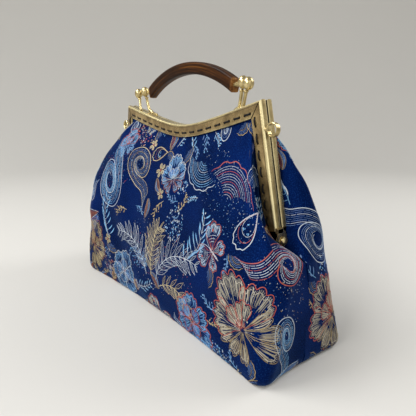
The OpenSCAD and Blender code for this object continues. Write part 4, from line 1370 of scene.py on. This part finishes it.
def front_figures():
    """Layout of the front's brocade, each figure as (strokes, x, y, angle) on the flat sheet."""
    rng = np.random.default_rng(11)
    rows = [
        (half_flower(rng, 40, SAND, IVORY, CORAL, TAN), 124, -34, 32),
        (flower(rng, 28, 6, BLUE, SKY, CORAL, CREAM), 60, -52, 0),
        (half_flower(rng, 35, TAN * 0.8, CREAM * 0.9, RUST, GOLD), -124, -40, -30),
        (flower(rng, 26, 6, BLUE * 0.8, SKY * 0.8, SILVER, CORAL), -56, -48, 40),
        (plume(rng, 76, 10, SILVER, 0.45), 6, -34, -16), (plume(rng, 56, 8, CREAM, 0.4), 12, -38, -58),
        (moved(plume(rng, 72, 10, SILVER, 0.45), mirror=True), -10, -34, 18),
        (plume(rng, 82, 11, CREAM, 0.12), -2, -32, 2),
        (butterfly(rng, 27, CORAL, SILVER, SKY), -150, 30, 25),
        (butterfly(rng, 23, CREAM, SILVER, CORAL), 6, -72, -30),
        (butterfly(rng, 23, SKY, SILVER, CORAL), 88, 12, 60),
        (butterfly(rng, 19, TAN, CREAM, CORAL), -88, -84, 10),
        (scroll(rng, 21, 1.8, 8, STEEL, CREAM), -52, 68, 152),
        (scroll(rng, 26, 1.9, 10, SKY, SILVER), -98, 40, -62),
        (scroll(rng, 19, 1.8, 8, SILVER, CORAL), 160, 12, 32),
        (fan(rng, 33, 66, 13, SILVER * 0.8, CORAL), 92, 46, -24),
        (fan(rng, 27, 68, 11, SKY, SILVER), 58, 84, 152),
        (broad_leaf(rng, 60, 12, RUST, BLUE, SILVER), -166, -14, -76),
        (half_flower(rng, 23, BLUE, SKY, SILVER, RUST), 12, 62, 15),
        (broad_leaf(rng, 46, 10, STEEL, RUST, SILVER), 140, -78, -70),
        (spray(rng, 50, 9, SKY, SILVER, 0.25), 46, -6, -22),
        (spray(rng, 44, 8, SKY, SILVER, -0.25), -84, -22, 4),
        (spray(rng, 34, 7, SKY, BLUE, 0.2), 94, -84, 70),
        (teardrop(rng, 32, SILVER, CORAL, SKY), 132, 46, 140),
        (teardrop(rng, 26, TAN, SKY, CORAL), -166, -62, 24),
        (teardrop(rng, 26, CREAM, RUST, SKY), -12, 86, 100),
        (half_flower(rng, 20, STEEL, SKY, CORAL, STEEL), -90, 82, 20),
        (grains(rng, 130, 20, 9, [SKY, SILVER, BLUE]), 90, -66, 0),
        (grains(rng, 110, 18, 10, [SKY, STEEL]), -26, -22, 0),
        (grains(rng, 110, 13, 16, [SKY, SILVER, STEEL]), 28, 24, 0),
        (scroll(rng, 15, 1.7, 7, SKY, SILVER), 162, -38, 118),
        (fan(rng, 23, 62, 10, STEEL, SILVER), 137, 60, 14),
        (spray(rng, 26, 6, SILVER, SKY, 0.3), 158, 40, 20)]
    dust = [(grains(rng, 420, 60, 34, [SILVER, STEEL, CREAM, CORAL], 0.5), 4, -12, 0),
            (grains(rng, 300, 52, 26, [STEEL, SKY, SILVER], 0.5), 96, 56, -30),
            (grains(rng, 300, 60, 24, [STEEL, SKY, CORAL], 0.5), -90, 60, 20),
            (grains(rng, 200, 30, 30, [SILVER, STEEL, TAN], 0.5), 150, -10, 0)]
    return [moved(*row) for row in rows + dust]


def back_figures():
    """Layout of the back's brocade."""
    rng = np.random.default_rng(23)
    rows = [
        (flower(rng, 31, 6, BLUE, SKY, CORAL, CREAM), -20, 22, 0),
        (half_flower(rng, 37, SAND, IVORY, CORAL, TAN), -146, -42, 30),
        (half_flower(rng, 35, TAN * 0.8, CREAM * 0.9, RUST, GOLD), 104, -40, -20),
        (flower(rng, 26, 6, STEEL, SKY, RUST, CREAM), -82, -54, 30),
        (plume(rng, 74, 11, SILVER, 0.4), 22, -44, -6), (plume(rng, 58, 9, CREAM, 0.4), 26, -48, -50),
        (moved(plume(rng, 54, 9, SILVER), mirror=True), -50, 58, 30),
        (butterfly(rng, 25, CREAM, SILVER, CORAL), -108, 26, 20),
        (butterfly(rng, 24, SKY, SILVER, CORAL), 4, -70, -15),
        (butterfly(rng, 22, CORAL, SILVER, SKY), 98, 42, 40),
        (scroll(rng, 22, 1.8, 9, STEEL, SILVER), -152, 20, -40),
        (scroll(rng, 23, 1.7, 9, SKY, CREAM), 150, 8, 120),
        (fan(rng, 28, 64, 11, STEEL, SILVER), 44, 72, 10),
        (broad_leaf(rng, 60, 12, RUST, STEEL, SILVER), 66, -4, 34),
        (broad_leaf(rng, 48, 10, BLUE, TAN, CREAM), -62, -16, -100),
        (spray(rng, 44, 8, SKY, SILVER, 0.25), -42, -88, 20),
        (spray(rng, 42, 8, SKY, BLUE, -0.2), 152, -84, -6),
        (teardrop(rng, 27, SILVER, CORAL, SKY), -124, -88, 60),
        (teardrop(rng, 27, TAN, SKY, CORAL), 132, 72, 200),
        (half_flower(rng, 21, STEEL, SKY, CORAL, STEEL), -112, 76, -20),
        (grains(rng, 120, 16, 9, [SKY, SILVER, BLUE]), -40, -34, 0),
        (grains(rng, 100, 12, 9, [SKY, STEEL, TAN]), 0, 72, 0),
        (spray(rng, 38, 8, SILVER, SKY, 0.3), -158, 52, 12)]
    dust = [(grains(rng, 400, 60, 34, [SILVER, STEEL, CREAM, CORAL], 0.5), 30, -14, 0),
            (grains(rng, 300, 52, 26, [STEEL, SKY, SILVER], 0.5), -90, 50, 20),
            (grains(rng, 260, 50, 26, [STEEL, SKY, CORAL], 0.5), 110, 30, 0)]
    return [moved(*row) for row in rows + dust]


TURN_ROUND = np.array([-1, -1, 1])
front_sheet = cloth_sheet(cloth_grid(LEFT_RIDGE, RIGHT_RIDGE, [1, 2], [3, 4]), np.array([1, 1, 1]), 0.4)
back_sheet = cloth_sheet(cloth_grid(BACK_RIDGE, RIGHT_RIDGE, [5, 6], [3, 4]), TURN_ROUND, 2.1)
front_cloth = cloth_object("front_panel_visual", front_sheet, GROUND, 0.0, CLOTH_T, 0.05)
back_cloth = cloth_object("back_panel_visual", back_sheet, GROUND, 0.0, CLOTH_T, 0.05)
front_lining, back_lining = [
    cloth_object(side + "_lining_visual", sheet, LINING, CLOTH_T + LINING_GAP, LINING_T, BOARD_TOP + 0.1, 3)
    for side, sheet in (("front", front_sheet), ("back", back_sheet))]
figures = {}
for side, sheet, large, seed in (("front", front_sheet, front_figures(), 5),
                                 ("back", back_sheet, back_figures(), 6)):
    small = strewn(np.random.default_rng(seed), large, (-178, -92), (178, 112))
    chance = np.random.default_rng(seed + 2)
    figures[side] = [figure_object(side + kind, woven(chance, sum(strokes, [])), sheet)
                     for kind, strokes in (("_figures_visual", large), ("_sprigs_visual", small))]


# ---- Which body carries what ----

for piece in front_metal + [clasp, rings, front_thread]:
    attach(piece, "front_half")
for piece in rear_metal + [handle_metal, grip, rear_thread]:
    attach(piece, "rear_half")
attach(rivets, "bag")
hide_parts("front_frame")
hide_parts("rear_frame")
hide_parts("clasp_post_left", "clasp_post_right", "clasp_ball_left", "clasp_ball_right")
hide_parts("strap_ring_left", "strap_ring_right")
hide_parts("handle_post_left", "handle_post_right", "handle_ball_left", "handle_ball_right",
            "handle_stud_left", "handle_stud_right")
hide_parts("handle_grip")
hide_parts("hinge_rivet_left", "hinge_rivet_right")
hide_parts("front_stitching")
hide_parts("rear_stitching")
for body, side, pieces in (("front_half", -1, [front_cloth, front_lining] + figures["front"]),
                           ("rear_half", 1, [back_cloth, back_lining] + figures["back"])):
    for piece, weight in pieces:
        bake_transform(piece)
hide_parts("front_panel_upper", "front_panel_lower")
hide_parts("back_panel_upper", "back_panel_lower")
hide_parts("front_lining_upper", "lining_lower")
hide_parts("back_lining_upper")
board = frame["nodes"]["base_board"].data.materials
board.clear()
board.append(BOARD)


# ---- Camera, light and backdrop ----

def camera():
    """Camera at the height of a standing bag's clasp, to its right and in front."""
    yaw, pitch, roll = np.radians([52.195, 13.18, -0.48])
    look = np.array([-math.sin(yaw) * math.cos(pitch), math.cos(yaw) * math.cos(pitch), -math.sin(pitch)])
    right = np.array([math.cos(yaw), math.sin(yaw), 0.0])
    up = np.cross(right, look)
    across = math.cos(roll) * right + math.sin(roll) * up
    upright = -math.sin(roll) * right + math.cos(roll) * up
    data = bpy.data.cameras.new("camera")
    data.lens, data.sensor_width = 34.64, 36.0
    place = np.eye(4)
    place[:3, 0], place[:3, 1], place[:3, 2] = across, upright, -look
    place[:3, 3] = np.array([317.5, -220.8, 186.1]) * MM
    obj = placed("camera", data)
    obj.matrix_world = Matrix(place.tolist())
    bpy.context.scene.camera = obj


def area_light(name, place, target, size, power):
    """White square soft box at place, turned to target, with positions and its size in metres."""
    data = bpy.data.lights.new(name, "AREA")
    data.shape, data.size, data.energy = "SQUARE", size, power
    obj = placed(name, data)
    obj.location = place
    obj.rotation_euler = (Vector(target) - Vector(place)).to_track_quat("-Z", "Y").to_euler()


def backdrop():
    """Pale round floor whose rim curves up into a wall all round, open at the top.

    Its profile in metres is turned about Z: the floor, a quarter circle and the wall; the turned shape's two
    end faces are left out."""
    floor_r, bend_r, wall_top = 1.1, 0.8, 2.4
    t = np.linspace(0, math.pi / 2, 20)
    bend = np.stack([floor_r + bend_r * np.sin(t), bend_r - bend_r * np.cos(t)], 1)
    profile = np.concatenate([[[0.0, 0.0], [0.4, 0.0]], bend, [[floor_r + bend_r, wall_top]]]) / MM
    points, faces = turned(profile - [0.0, 0.1], (0, 0, 0), "z", 128)
    faces = [face for face in faces if len(face) == 4]
    paper = plain("backdrop", "#C9C7C2", Roughness=0.9)
    mesh_object("floor_and_backdrop", points, faces, paper, closed=False)


camera()
backdrop()
area_light("key", (-0.55, -0.85, 1.4), (0, 0, 0.12), 1.0, 24.0)
area_light("front", (0.32, -1.2, 0.8), (0, 0, 0.12), 0.5, 8.0)
area_light("fill", (1.1, -0.35, 0.6), (0, 0, 0.1), 0.9, 2.5)
area_light("back", (0.5, 0.9, 0.9), (0, 0, 0.15), 0.6, 7.0)
world = bpy.data.worlds.new("world")
bpy.context.scene.world = world
world.use_nodes = True
sky = world.node_tree.nodes["Background"].inputs
sky["Color"].default_value = linear("#E8EAEE")
sky["Strength"].default_value = 0.40
bpy.context.scene.view_settings.view_transform = "Standard"
